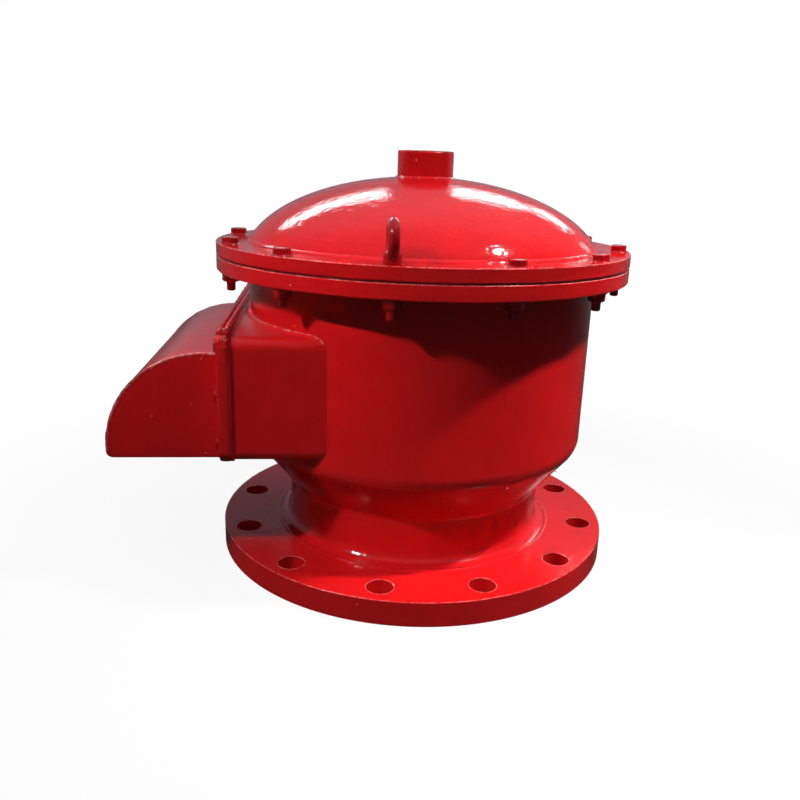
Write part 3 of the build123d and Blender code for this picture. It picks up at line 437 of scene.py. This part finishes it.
# Cover: a dished head, pressed from 5 mm plate and welded all round to its ring. The fillet is
# brushed over thickly, so it runs into the head in one soft curve.
dome_foot_radius = 0.170
dress(enamel_turned, "cover_dome")
weld("weld_cover_foot", ring_path(dome_foot_radius, ring_top, 45.0), Rise=0.0018, Width=0.0034,
     Pool_Length=0.006, Pool_Depth=0.0, Waviness=0.12, Seed=8.0)
strew_nibs("nibs_cover_foot", ring_path(dome_foot_radius + 0.003, ring_top), enamel_turned, Count=15,
           Spread=0.006, Largest=0.0006, Seed=9)

# Guide boss: a closed cap turned from bar, let into the head's crown and welded round its foot.
# Its rim is rough with nibs of enamel, and a ring of nibs is left round the weld; the nibs are tinted pale
# and the rim carries a pale thread, both painted highlights.
boss_radius = 0.027
boss_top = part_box("guide_boss")[1].z
boss_foot_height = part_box("cover_dome")[1].z
dress(enamel_turned, "guide_boss")
weld("weld_boss_foot", ring_path(boss_radius, boss_foot_height - 0.0008, 45.0, 60), Rise=0.0016, Width=0.0026,
     Pool_Length=0.005, Pool_Depth=0.1, Waviness=0.2, Seed=10.0)
strew_nibs("nibs_boss_foot", ring_path(boss_radius + 0.002, boss_foot_height - 0.0008, 45.0, 60), pale_nib_highlight_paint,
           Count=22, Spread=0.004, Largest=0.0007, Seed=11)
edge_thread("edge_boss", ring_path(boss_radius - 0.0006, boss_top - 0.0007, 45.0, 60), 0.0005, 44.0)
strew_nibs("nibs_boss_rim", ring_path(boss_radius - 0.0014, boss_top - 0.0009, 90.0, 60), pale_nib_highlight_paint,
           Count=30, Spread=0.0012, Largest=0.0007, Seed=21)

# Cover bolts: ten M8 hexagon bolts, painted in place with the cover. The enamel rounds their edges,
# fills the corner at each foot and hangs on the nuts and stubs below.
bolt_circle = 0.1895
bolt_turn = math.radians(1.5)
bolt_count = 12
bolt_flats = 0.0141
eye_places = (2, 8)
# Thick enamel, darker than on the plates: the darker tone is painted shade; it dulls the facets and holds
# small soft glints
shade_darkened_enamel = red_enamel("red_enamel_darkened_as_painted_shade", False, (0.4, 0.4, 0.4), 0.08, 0.20,
                             ("C41016", "A80C12"))


def turned_hexagon(name, rings, across_flats):
    """A closed shape from rings of (height, radius, share of hexagon); a share of 1 is a full hexagon."""
    sides = 24
    work = bmesh.new()
    loops = []
    for height, radius, share in rings:
        loop = []
        for k in range(sides):
            angle = math.tau * k / sides
            from_flat = (angle + math.pi / 6) % (math.pi / 3) - math.pi / 6
            hexagon = across_flats / 2 / math.cos(from_flat)
            reach = radius * (1 - share) + min(hexagon, radius * 1.6) * share
            loop.append(work.verts.new((reach * math.cos(angle), reach * math.sin(angle), height)))
        loops.append(loop)
    for low, high in zip(loops, loops[1:]):
        for k in range(sides):
            work.faces.new((low[k], low[(k + 1) % sides], high[(k + 1) % sides], high[k]))
    work.faces.new(list(reversed(loops[0])))
    work.faces.new(loops[-1])
    mesh = bpy.data.meshes.new(name)
    work.to_mesh(mesh)
    work.free()
    template = bpy.data.objects.new(name, mesh)
    bpy.context.scene.collection.objects.link(template)
    return template


# Copies set out on points: each stands on its point, turned about its own axis by chance, up to the
# sixth of a turn after which a hexagon looks the same
set_sizes = {"Piece": None, "Seed": 1, "Most Turn": 1.047, "Material": shade_darkened_enamel}
set_tree, given, result = geometry_tree("set_out_fasteners", set_sizes)
picture = add(set_tree, "GeometryNodeObjectInfo", links={"Object": given["Piece"]})
outward = add(set_tree, "GeometryNodeInputNamedAttribute", {"data_type": "FLOAT_VECTOR", "Name": "facing"})
upright = add(set_tree, "FunctionNodeAlignRotationToVector", {"axis": "Z"}, {
    "Vector": outward.outputs["Attribute"]})
chance = add(set_tree, "FunctionNodeRandomValue", {"data_type": "FLOAT", 2: 0.0}, {
    3: given["Most Turn"], "Seed": given["Seed"]})
spin = add(set_tree, "FunctionNodeAxisAngleToRotation", {"Axis": (0.0, 0.0, 1.0)}, {
    "Angle": chance.outputs[1]})
turned = add(set_tree, "FunctionNodeRotateRotation", {"rotation_space": "LOCAL"}, {
    "Rotation": upright.outputs["Rotation"], "Rotate By": spin.outputs["Rotation"]})
copies = add(set_tree, "GeometryNodeInstanceOnPoints", links={
    "Points": given["Geometry"], "Instance": picture.outputs["Geometry"],
    "Rotation": turned.outputs["Rotation"]})
finish_tree(set_tree, given, result, copies.outputs["Instances"])


def set_out(name, template, places, up_or_down, node, seed=1):
    """Copies of a template on places, all facing up (1) or down (-1), in place of a node of the housing."""
    chosen = dict(set_sizes)
    chosen.update({"Piece": template, "Seed": seed})
    piece = grow(name, set_tree, path_mesh(places, [(0.0, 0.0, up_or_down)] * len(places), False), chosen)
    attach(piece, "housing")
    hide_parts(node)
    bpy.data.objects.remove(template)


bolt_places = circle_places(bolt_circle, ring_top, bolt_count, bolt_turn, eye_places)
bolt_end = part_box("cover_bolts")[0].z - ring_top
bolt_head = turned_hexagon("bolt_head", [
    (bolt_end, 0.0028, 0.0), (bolt_end + 0.0008, 0.0040, 0.0), (-0.0005, 0.0040, 0.0), (-0.0005, 0.0092, 0.0),
    (0.0002, 0.0090, 0.0), (0.0006, 0.0080, 0.5), (0.0013, 0.0074, 1.0), (0.0047, 0.0073, 1.0),
    (0.0057, 0.0068, 0.75), (0.0062, 0.0060, 0.2), (0.0062, 0.0010, 0.0)], bolt_flats)
set_out("cover_bolts_painted", bolt_head, bolt_places, 1.0, "cover_bolts", seed=3)
nut_places = circle_places(bolt_circle, ring_bottom, bolt_count, bolt_turn)
washer = turned_hexagon("washer", [(0.0002, 0.0090, 0.0), (0.0006, 0.0087, 0.0), (0.0015, 0.0083, 0.0),
                                   (0.0017, 0.0076, 0.0)], 0.017)
set_out("cover_washers_painted", washer, nut_places, -1.0, "cover_washers")
nut = turned_hexagon("nut", [
    (0.0010, 0.0074, 1.0), (0.0018, 0.0073, 1.0), (0.0068, 0.0073, 1.0), (0.0077, 0.0070, 0.7),
    (0.0081, 0.0062, 0.2), (0.0082, 0.0046, 0.0), (0.0096, 0.0043, 0.0)], bolt_flats)
set_out("cover_nuts_painted", nut, nut_places, -1.0, "cover_nuts", seed=5)
# Pale nibs round each bolt head: their pale tint is a painted highlight
strew_nibs("pale_nibs_bolts", small_rings(bolt_places, 0.0090, (0.0, 0.0, 1.0)), pale_nib_highlight_paint, Count=9,
           Spread=0.0025, Largest=0.0006, Seed=12)

# Lifting eyes: two forged eye bolts, screwed down in place of two cover bolts on opposite sides
# and painted over with the same thick enamel.
dress(shade_darkened_enamel, "lifting_eye_front", "lifting_eye_rear")

# Outlet duct: a box folded from 4 mm plate, with rounded corners, welded to the cylinder.
# The weld's top strip is wide and rough, with a pale thread along it: a painted highlight for the
# glints of the rough weld. The sheets' enamel is brushed downwards, which draws their highlights out
# from top to bottom.
enamel_sheet = red_enamel("red_enamel_brushed_down", False, (0.35, 0.35, 0.03), 0.10, 0.25)
dress(enamel_sheet, "outlet_duct")
duct_low, duct_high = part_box("outlet_duct")
duct_half = duct_high.y
duct_round = 0.010


def duct_outline(half, bottom, top, corner):
    """Points of a rounded box in the YZ plane, with their outward directions."""
    places, facings = [], []
    for y_sign, z_sign, start in ((1, 1, 0), (-1, 1, 90), (-1, -1, 180), (1, -1, 270)):
        middle_y = y_sign * (half - corner)
        middle_z = (top if z_sign > 0 else bottom) - z_sign * corner
        for k in range(9):
            a = math.radians(start + 90 * k / 8)
            places.append((middle_y + corner * math.cos(a), middle_z + corner * math.sin(a)))
            facings.append((math.cos(a), math.sin(a)))
    dense_places, dense_facings = [], []
    for k, (here, out) in enumerate(zip(places, facings)):
        there, out_there = places[(k + 1) % len(places)], facings[(k + 1) % len(places)]
        steps = max(1, int(math.dist(here, there) / 0.004))
        for j in range(steps):
            share = j / steps
            dense_places.append(tuple(p + (q - p) * share for p, q in zip(here, there)))
            dense_facings.append(tuple(p + (q - p) * share for p, q in zip(out, out_there)))
    return dense_places, dense_facings


duct_places, duct_facings = duct_outline(duct_half, duct_low.z, duct_high.z, duct_round)
duct_weld_places = [(-math.sqrt(body_radius ** 2 - y ** 2) - 0.0010, y, z + 0.0004)
                    for y, z in duct_places if z > duct_high.z - 0.007]
duct_weld_facings = [(-0.6, 0.0, 0.8)] * len(duct_weld_places)
weld("weld_duct_body", path_mesh(duct_weld_places, duct_weld_facings, False), Rise=0.0016, Width=0.0044,
     Pool_Length=0.005, Pool_Depth=0.45, Waviness=0.4, Seed=13.0)
edge_thread("edge_duct_weld", path_mesh([(x - 0.0012, y, z + 0.0014) for x, y, z in duct_weld_places],
                                        duct_weld_facings, False), 0.0007, 48.0)
strew_nibs("pale_nibs_duct_weld", path_mesh(duct_weld_places, duct_weld_facings, False), pale_nib_highlight_paint, Count=34,
           Spread=0.003, Smallest=0.0003, Largest=0.0007, Seed=14)

# Frame plates: two steel plates, one on the duct and one on the hood. Paint has run over their
# edges and joined them in one soft rim, with thick blobs at the upper corners and drops below.
dress(enamel_sheet, "duct_flange", "hood_flange")
plate_low, plate_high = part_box("hood_flange")
plate_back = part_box("duct_flange")[1].x
plate_front = plate_low.x
plate_middle = (plate_back + plate_front) / 2
plate_corner = 0.013
plate_places, plate_facings = duct_outline(plate_high.y, plate_low.z, plate_high.z, plate_corner)
plate_edge = list(zip(plate_places, plate_facings))


def rim_path(edge):
    """A path along part of the plates' edge, midway between their outer faces."""
    return path_mesh([(plate_middle, y, z) for (y, z), _ in edge], [(0.0, y, z) for _, (y, z) in edge], False)


for side, name in ((1, "paint_rim_rear"), (-1, "paint_rim_front")):
    half_rim = [(place, out) for place, out in plate_edge
                if place[1] < plate_high.z - 0.004 and place[0] * side > plate_high.y - 0.02]
    half_rim.sort(key=lambda item: item[0][1])
    weld(name, rim_path(half_rim), Rise=0.0008, Width=0.0052, Pool_Length=0.004, Pool_Depth=0.0,
         Waviness=0.10, Seed=15.0)
    corner = [(place, out) for place, out in plate_edge
              if place[0] * side > plate_high.y - 0.012 and place[1] > plate_high.z - 0.012]
    strew_nibs(name + "_blobs", rim_path(corner), enamel_sheet, Count=9, Spread=0.0036, Smallest=0.0012,
               Largest=0.0028, Seed=16)
    # Pale blobs at the upper corners: their pale tint is a painted highlight
    pale_corner = [((y * 1.003, z + 0.001), out) for (y, z), out in corner]
    strew_nibs(name + "_pale_blobs", rim_path(pale_corner), pale_nib_highlight_paint, Count=9, Spread=0.0050,
               Smallest=0.0004, Largest=0.0012, Seed=17)

top_line = [k * 0.004 for k in range(-35, 36)]
for name, middle in (("paint_rim_top_duct", (plate_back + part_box("duct_flange")[0].x) / 2),
                     ("paint_rim_top_hood", (plate_front + plate_high.x) / 2)):
    weld(name, path_mesh([(middle, y, plate_high.z - 0.0002) for y in top_line],
                         [(0.0, 0.0, 1.0)] * len(top_line), False),
         Rise=0.0012, Width=0.0019, Pool_Length=0.006, Pool_Depth=0.5, Waviness=0.35, Seed=22.0)
weld("weld_frame_duct", path_mesh([(plate_back + 0.0012, y, z) for y, z in duct_places],
                                  [(0.7, 0.7 * y, 0.7 * z) for y, z in duct_facings], True),
     Rise=0.0016, Width=0.0018, Pool_Length=0.004, Pool_Depth=0.05, Waviness=0.15, Seed=23.0)
frame_half = plate_high.y - 0.0006
frame_ends = (plate_low.z + plate_corner, plate_high.z - plate_corner)
edge_thread("edge_frame", path_mesh(
    [(plate_back - 0.0006, side * frame_half, z) for side in (1, -1) for z in frame_ends],
    [(0.7, side * 0.7, 0.0) for side in (1, -1) for _ in frame_ends], False, 2), 0.0005, 47.0)

# Screen: steel wires of 1.6 mm, woven over and under at right angles, 12 mm apart. It keeps birds
# out, is clamped between the plates and was painted with them.
screen_low, screen_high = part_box("outlet_screen")
screen_sizes = {"Pitch": 0.012, "Wire": 0.0016, "Width": screen_high.y - screen_low.y - 0.004,
                "Height": screen_high.z - screen_low.z - 0.004, "Material": shade_darkened_enamel}
screen_tree, given, result = geometry_tree("woven_screen", screen_sizes)
runs = []
for across, along, row_axis, wire_axis, first_side in (("Width", "Height", "Y", "Z", 0.5),
                                                       ("Height", "Width", "Z", "Y", -0.5)):
    number = add(screen_tree, "ShaderNodeMath", {"operation": "DIVIDE"}, {
        0: given[across], 1: given["Pitch"]})
    whole = add(screen_tree, "ShaderNodeMath", {"operation": "FLOOR"}, {0: number.outputs[0]})
    wire_count = add(screen_tree, "ShaderNodeMath", {"operation": "ADD", 1: 1.0}, {0: whole.outputs[0]})
    row_length = add(screen_tree, "ShaderNodeMath", {"operation": "MULTIPLY"}, {
        0: whole.outputs[0], 1: given["Pitch"]})
    first = add(screen_tree, "ShaderNodeMath", {"operation": "MULTIPLY", 1: -0.5}, {0: row_length.outputs[0]})
    half_long = add(screen_tree, "ShaderNodeMath", {"operation": "MULTIPLY", 1: 0.5}, {0: given[along]})
    less_long = add(screen_tree, "ShaderNodeMath", {"operation": "MULTIPLY", 1: -0.5}, {0: given[along]})
    start = add(screen_tree, "ShaderNodeCombineXYZ", links={row_axis: first.outputs[0]})
    stride = add(screen_tree, "ShaderNodeCombineXYZ", links={row_axis: given["Pitch"]})
    row = add(screen_tree, "GeometryNodeMeshLine", links={
        "Count": wire_count.outputs[0], "Start Location": start.outputs[0], "Offset": stride.outputs[0]})
    bottom = add(screen_tree, "ShaderNodeCombineXYZ", links={wire_axis: less_long.outputs[0]})
    top = add(screen_tree, "ShaderNodeCombineXYZ", links={wire_axis: half_long.outputs[0]})
    wire_line = add(screen_tree, "GeometryNodeCurvePrimitiveLine", links={
        "Start": bottom.outputs[0], "End": top.outputs[0]})
    fine_wire = add(screen_tree, "GeometryNodeResampleCurve", {"mode": "LENGTH", "Length": 0.003}, {
        "Curve": wire_line.outputs["Curve"]})
    wires = add(screen_tree, "GeometryNodeInstanceOnPoints", links={
        "Points": row.outputs["Mesh"], "Instance": fine_wire.outputs["Curve"]})
    real_wires = add(screen_tree, "GeometryNodeRealizeInstances", links={
        "Geometry": wires.outputs["Instances"]})
    spot = add(screen_tree, "GeometryNodeInputPosition")
    pitches = add(screen_tree, "ShaderNodeCombineXYZ", links={axis: given["Pitch"] for axis in range(3)})
    half_waves = add(screen_tree, "ShaderNodeVectorMath", {"operation": "DIVIDE"}, {
        0: spot.outputs["Position"], 1: pitches.outputs[0]})
    angles = add(screen_tree, "ShaderNodeVectorMath", {"operation": "SCALE", "Scale": math.pi}, {
        0: half_waves.outputs["Vector"]})
    waves = add(screen_tree, "ShaderNodeVectorMath", {"operation": "COSINE"}, {0: angles.outputs["Vector"]})
    wave_axes = add(screen_tree, "ShaderNodeSeparateXYZ", links={0: waves.outputs["Vector"]})
    weave = add(screen_tree, "ShaderNodeMath", {"operation": "MULTIPLY"}, {
        0: wave_axes.outputs["Y"], 1: wave_axes.outputs["Z"]})
    swing = add(screen_tree, "ShaderNodeMath", {"operation": "MULTIPLY"}, {
        0: weave.outputs[0], 1: given["Wire"]})
    over_or_under = add(screen_tree, "ShaderNodeMath", {"operation": "MULTIPLY", 1: first_side}, {
        0: swing.outputs[0]})
    push = add(screen_tree, "ShaderNodeCombineXYZ", links={"X": over_or_under.outputs[0]})
    woven = add(screen_tree, "GeometryNodeSetPosition", links={
        "Geometry": real_wires.outputs["Geometry"], "Offset": push.outputs[0]})
    wire_radius = add(screen_tree, "ShaderNodeMath", {"operation": "MULTIPLY", 1: 0.5}, {0: given["Wire"]})
    round_wire = add(screen_tree, "GeometryNodeCurvePrimitiveCircle", {"Resolution": 8}, {
        "Radius": wire_radius.outputs[0]})
    runs.append(add(screen_tree, "GeometryNodeCurveToMesh", {"Fill Caps": True}, {
        "Curve": woven.outputs["Geometry"], "Profile Curve": round_wire.outputs["Curve"]}).outputs["Mesh"])
both_runs = add(screen_tree, "GeometryNodeJoinGeometry")
for run_mesh in runs:
    screen_tree.links.new(run_mesh, both_runs.inputs["Geometry"])
centred = add(screen_tree, "GeometryNodeTransform", {"Translation": (screen_low + screen_high) / 2}, {
    "Geometry": both_runs.outputs["Geometry"]})
finish_tree(screen_tree, given, result, centred.outputs["Geometry"])
woven_screen = grow("outlet_screen_woven", screen_tree, bpy.data.meshes.new("empty"), screen_sizes)
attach(woven_screen, "housing")
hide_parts("outlet_screen")

# Rain hood: 3 mm sheet bent down over two side plates and welded along their edges, open below.
# The edge beads are tinted pale, partly as thin enamel and partly as a painted highlight, so they show as a
# pale line; their nibs are tinted pale as painted highlights too.
hood_low, hood_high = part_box("rain_hood")
dress(enamel_sheet, "rain_hood")
bend_radius = 0.086
bend_middle = (hood_low.x + bend_radius, hood_high.z - bend_radius)
straight_length = 0.0128
end_above_mouth = 0.007
bend = [(math.cos(math.radians(a)), math.sin(math.radians(a))) for a in range(90, 181, 3)]
hood_places = [(hood_high.x - straight_length * k / 4, hood_high.z) for k in range(4)]
hood_places += [(bend_middle[0] + bend_radius * c, bend_middle[1] + bend_radius * s) for c, s in bend]
hood_places.append((hood_low.x, hood_low.z + end_above_mouth))
hood_edge = list(zip(hood_places, [(0.0, 1.0)] * 4 + bend + [(-1.0, 0.0)]))
for side, name in ((1, "weld_hood_rear"), (-1, "weld_hood_front")):
    path = path_mesh([(x - 0.0015 * ox, side * (hood_high.y - 0.0010), z - 0.0015 * oz)
                      for (x, z), (ox, oz) in hood_edge],
                     [(ox * 0.7, side * 0.7, oz * 0.7) for _, (ox, oz) in hood_edge], False)
    weld(name, path, Rise=0.0013, Width=0.0013, Pool_Length=0.005, Pool_Depth=0.05, Waviness=0.2, Seed=18.0,
         Material=thin_paint_and_highlight)
    path = path_mesh([(x - 0.0008 * ox, side * (hood_high.y - 0.0008), z - 0.0008 * oz)
                      for (x, z), (ox, oz) in hood_edge], [(ox, 0.0, oz) for _, (ox, oz) in hood_edge], False)
    strew_nibs(name + "_nibs", path, pale_nib_highlight_paint, Count=24, Spread=0.002, Smallest=0.0003, Largest=0.0006,
               Seed=19)

# Frame bolts: M6 hexagon bolts through both plates and the screen, with their nuts inside the
# duct's mouth, all under the same thick enamel.
dress(shade_darkened_enamel, "hood_bolts", "hood_nuts")

# Seat ring and pallets: turned stainless steel, held by studs, screws and nuts of the same steel.
# The tool's fine rings, 0.6 mm apart, draw a soft fan of light across every face.
turned_steel, tree, shader = new_material("turned_stainless_steel")
position = millimetre_place(tree)
drawn = round_place(tree, position, 20.0)
ring_place = add(tree, "ShaderNodeVectorMath", {"operation": "MULTIPLY", 1: (0.05, 1.6, 1.6)}, {0: drawn})
tool_rings = add(tree, "ShaderNodeTexNoise", {"Scale": 1.0, "Detail": 3.0}, {
    "Vector": ring_place.outputs["Vector"]})
cloud = add(tree, "ShaderNodeTexNoise", {"Scale": 1 / 40, "Detail": 2.0}, {"Vector": position})
steel_tint = add(
    tree, "ShaderNodeMix", {"data_type": "RGBA", "A": linear_colour("C9C8C2"), "B": linear_colour("B4B4B0")},
    {"Factor": cloud.outputs["Fac"]})
tree.links.new(steel_tint.outputs["Result"], shader.inputs["Base Color"])
dull = add(tree, "ShaderNodeMapRange", {"To Min": 0.22, "To Max": 0.38}, {"Value": tool_rings.outputs["Fac"]})
tree.links.new(dull.outputs["Result"], shader.inputs["Roughness"])
shader.inputs["Metallic"].default_value = 1.0
stack_bumps(tree, shader, [(tool_rings.outputs["Fac"], 0.015)])
dress(turned_steel, "pressure_seat_ring", "seat_screws", "pressure_pallet_plate", "seal_retainer",
      "retainer_screws", "weight_studs", "weight_nuts", "vacuum_seat_ring", "guide_spider",
      "guide_sleeve", "vacuum_pallet_plate", "vacuum_clamp_disc", "vacuum_stem", "vacuum_clamp_nut",
      "spring_cap", "spring_nut")

# Vacuum spring: seven turns of drawn spring wire between the spider's hub and the cap on the stem.
# The wire is smooth and dull; the stem's cap presses it down as the vacuum pallet drops, though the
# coil drawn here keeps one length. The bead's tree draws it, round and without waves.
spring_wire = grained_finish("drawn_spring_steel", ("A9A8A4", "86857F"), 0.9, 3.0, 0.01, 0.34, metallic=1.0)
spring_low, spring_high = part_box("vacuum_spring")
spring_turns = 7
wire_half = 0.0012
coil_radius = spring_high.x - wire_half
coil_rise = spring_high.z - spring_low.z - 2 * wire_half
coil_steps = [k / 280 for k in range(281)]
coil_angles = [math.tau * spring_turns * share for share in coil_steps]
coil = weld("vacuum_spring_coiled", path_mesh(
    [(coil_radius * math.cos(a), coil_radius * math.sin(a), spring_low.z + wire_half + coil_rise * share)
     for a, share in zip(coil_angles, coil_steps)],
    [(math.cos(a), math.sin(a), 0.0) for a in coil_angles], False),
    "pressure_pallet", "spring_steel", Rise=wire_half, Width=wire_half, Pool_Depth=0.0, Waviness=0.0,
    Material=spring_wire)
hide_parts("vacuum_spring")
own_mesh(coil)

# Weights: two rings of grey cast iron, faced on both sides and stacked on the pallet's studs. The
# facing leaves them dark and dull, with an open grain of about a millimetre.
cast_iron = grained_finish("faced_cast_iron", ("3A3A3C", "5C5A58"), 0.8, 5.0, 0.12, 0.55, metallic=0.6,
                           harshness=0.7)
dress(cast_iron, "weight_lower", "weight_upper")

# Bush: cast bronze, bored and pressed in the boss. Its bore is brown and half bright, with marks
# of the boring bar round it.
bored_bronze = grained_finish("bored_bronze", ("B5803E", "8E6530"), 1.5, 2.0, 0.02, 0.3, metallic=1.0,
                              round_the_axis=True)
dress(bored_bronze, "guide_bush")

# Seals: rings cut from off-white fluoropolymer sheet, clamped to the pallets. The sheet is skived
# from a billet, so it looks waxy, with a soft shine and faint clouds of 4 mm.
seal_sheet = grained_finish("skived_fluoropolymer_sheet", ("E9E6DC", "D8D4C8"), 0.25, 3.0, 0.04, 0.45,
                            ior=1.36)
dress(seal_sheet, "pressure_seal", "vacuum_seal")

# Floor: white studio paper. The camera sees it white, with the valve's shadow on it. Shiny
# surfaces see it nearly dark, a little lighter behind the valve, as in the photograph.
bpy.ops.mesh.primitive_plane_add(size=14.0, location=(0.0, 0.0, -0.0003))
floor = bpy.context.object
floor.name = "floor"
floor_paper = bpy.data.materials.new("white_floor_paper")
floor_paper.use_nodes = True
tree = floor_paper.node_tree
tree.nodes.clear()
path = add(tree, "ShaderNodeLightPath")
seen = add(tree, "ShaderNodeMath", {"operation": "MAXIMUM"},
           {0: path.outputs["Is Camera Ray"], 1: path.outputs["Is Transmission Ray"]})
paper = add(tree, "ShaderNodeBsdfDiffuse", {"Color": (0.10, 0.10, 0.10, 1.0)})
dim_paper = add(tree, "ShaderNodeBsdfDiffuse", {"Color": (0.02, 0.02, 0.02, 1.0)})
place = add(tree, "ShaderNodeNewGeometry").outputs["Position"]
distance = add(tree, "ShaderNodeVectorMath", {"operation": "LENGTH"}, {0: place})
far_glow = add(
    tree, "ShaderNodeMapRange",
    {"interpolation_type": "SMOOTHSTEP", "From Min": 0.15, "From Max": 1.0, "To Min": 0.90, "To Max": 1.0},
    {"Value": distance.outputs["Value"]})
glow = add(tree, "ShaderNodeEmission", links={"Strength": far_glow.outputs["Result"]})
both = add(tree, "ShaderNodeAddShader", links={0: paper.outputs[0], 1: glow.outputs[0]})
axes = add(tree, "ShaderNodeSeparateXYZ", links={0: place})
behind = add(
    tree, "ShaderNodeMapRange",
    {"interpolation_type": "SMOOTHSTEP", "From Min": 0.1, "From Max": 1.5, "To Min": 0.02, "To Max": 0.10},
    {"Value": axes.outputs["Y"]})
glossy_glow = add(tree, "ShaderNodeMath", {"operation": "MULTIPLY"},
                  {0: behind.outputs["Result"], 1: path.outputs["Is Glossy Ray"]})
back_glow = add(tree, "ShaderNodeEmission", links={"Strength": glossy_glow.outputs[0]})
other = add(tree, "ShaderNodeAddShader", links={0: dim_paper.outputs[0], 1: back_glow.outputs[0]})
mixed = add(tree, "ShaderNodeMixShader", links={0: seen.outputs[0], 1: other.outputs[0], 2: both.outputs[0]})
add(tree, "ShaderNodeOutputMaterial", links={"Surface": mixed.outputs[0]})
floor.data.materials.append(floor_paper)

# Studio: white walls for the camera. For light and shine they are a cool grey behind, dim overhead
# and dark towards the camera. Matt surfaces get a little more light from all round.
world = bpy.data.worlds.new("studio")
bpy.context.scene.world = world
world.use_nodes = True
tree = world.node_tree
tree.nodes.clear()
path = add(tree, "ShaderNodeLightPath")
direction = add(tree, "ShaderNodeTexCoord").outputs["Generated"]
axes = add(tree, "ShaderNodeSeparateXYZ", links={0: direction})
behind = add(
    tree, "ShaderNodeMapRange",
    {"interpolation_type": "SMOOTHSTEP", "From Min": 0.0, "From Max": 0.5, "To Min": 0.02, "To Max": 0.25},
    {"Value": axes.outputs["Y"]})
ceiling = add(
    tree, "ShaderNodeMapRange",
    {"interpolation_type": "SMOOTHSTEP", "From Min": 0.45, "From Max": 0.95, "To Min": 0.0, "To Max": 0.3},
    {"Value": axes.outputs["Z"]})
walls = add(tree, "ShaderNodeMath", {"operation": "ADD"},
            {0: behind.outputs["Result"], 1: ceiling.outputs["Result"]})
spill = add(tree, "ShaderNodeMath", {"operation": "MULTIPLY", 1: 0.08}, {0: path.outputs["Is Diffuse Ray"]})
room = add(tree, "ShaderNodeMath", {"operation": "ADD"}, {0: walls.outputs[0], 1: spill.outputs[0]})
seen = add(tree, "ShaderNodeMath", {"operation": "MAXIMUM"},
           {0: path.outputs["Is Camera Ray"], 1: path.outputs["Is Transmission Ray"]})
strength = add(tree, "ShaderNodeMix", {"data_type": "FLOAT", "B": 1.0},
               {"Factor": seen.outputs[0], "A": room.outputs[0]})
daylight = add(
    tree, "ShaderNodeMix", {"data_type": "RGBA", "A": (0.95, 0.95, 1.12, 1.0), "B": (1.0, 1.0, 1.0, 1.0)},
    {"Factor": seen.outputs[0]})
sky = add(tree, "ShaderNodeBackground", links={
    "Color": daylight.outputs["Result"], "Strength": strength.outputs["Result"]})
add(tree, "ShaderNodeOutputWorld", links={"Surface": sky.outputs[0]})


# Lamps: two small hard keys in front, left and right, and the windows behind that the dome mirrors.
# Each is two lamps in one place: one lights and the other only shines, because their strengths were
# fitted apart, to the photograph's shadows and to its highlights. The keys light in narrow beams.
def lamp(name, place, target, width, height, power, shine=True, light_up=True, beam=180.0):
    light = bpy.data.lights.new(name, "AREA")
    light.spread = math.radians(beam)
    light.shape = "RECTANGLE"
    light.size = width
    light.size_y = height
    light.energy = power
    holder = bpy.data.objects.new(name, light)
    holder.location = place
    holder.rotation_euler = (Vector(target) - Vector(place)).to_track_quat("-Z", "Y").to_euler()
    holder.visible_camera = False
    holder.visible_glossy = shine
    holder.visible_diffuse = light_up
    bpy.context.scene.collection.objects.link(holder)


key_right_place = (0.90, -0.40, 1.70)
key_left_place = (-1.19, -0.71, 1.28)
key_size = 0.10
lamp("key_right", key_right_place, (0.12, -0.13, 0.12), key_size, key_size, 0.80, shine=False, beam=26.0)
lamp("key_left", key_left_place, (-0.05, -0.15, 0.19), key_size, key_size, 0.44, shine=False, beam=28.0)
shine_size = 0.09
shine_radiance = 400.0
for name, place in (("key_right_shine", key_right_place), ("key_left_shine", key_left_place)):
    lamp(name, place, (0.0, 0.0, 0.2), shine_size, shine_size, shine_size ** 2 * math.pi * shine_radiance,
         light_up=False)
window_share = 0.12
for name, place, width, height, radiance in (("window_left", (-0.61, 1.35, 1.36), 1.08, 0.27, 9.0),
                                             ("window_right", (0.55, 1.35, 1.22), 0.45, 0.30, 9.0),
                                             ("window_right_far", (0.99, 1.35, 1.04), 0.44, 0.16, 9.0),
                                             ("door_right", (1.55, 1.35, 0.87), 0.20, 0.24, 2.4)):
    target = (place[0], 0.0, place[2] - 0.02)
    full = math.pi * width * height * radiance
    lamp(name + "_shine", place, target, width, height, full, light_up=False)
    lamp(name + "_light", place, target, width, height, full * window_share, shine=False)

# Camera: fitted to the rims, holes and outlines in the photograph. It looks down on the valve from
# 0.8 m away, turned a little to the right and rolled by two degrees.
camera_data = bpy.data.cameras.new("camera")
camera_data.lens = 35.48
camera_data.sensor_width = 36.0
camera = bpy.data.objects.new("camera", camera_data)
heading, pitch, roll = math.radians(5.5), math.radians(16.63), math.radians(1.92)
forward = Vector((math.sin(heading) * math.cos(pitch), math.cos(heading) * math.cos(pitch), -math.sin(pitch)))
level_right = Vector((math.cos(heading), -math.sin(heading), 0.0))
level_up = level_right.cross(forward)
right = level_right * math.cos(roll) + level_up * math.sin(roll)
up = level_up * math.cos(roll) - level_right * math.sin(roll)
camera.matrix_world = Matrix.Translation((-0.0931, -0.7891, 0.3814)) @ Matrix((
    (right.x, up.x, -forward.x, 0.0), (right.y, up.y, -forward.y, 0.0), (right.z, up.z, -forward.z, 0.0),
    (0.0, 0.0, 0.0, 1.0)))
bpy.context.scene.collection.objects.link(camera)
bpy.context.scene.camera = camera
bpy.context.scene.view_settings.view_transform = "Standard"
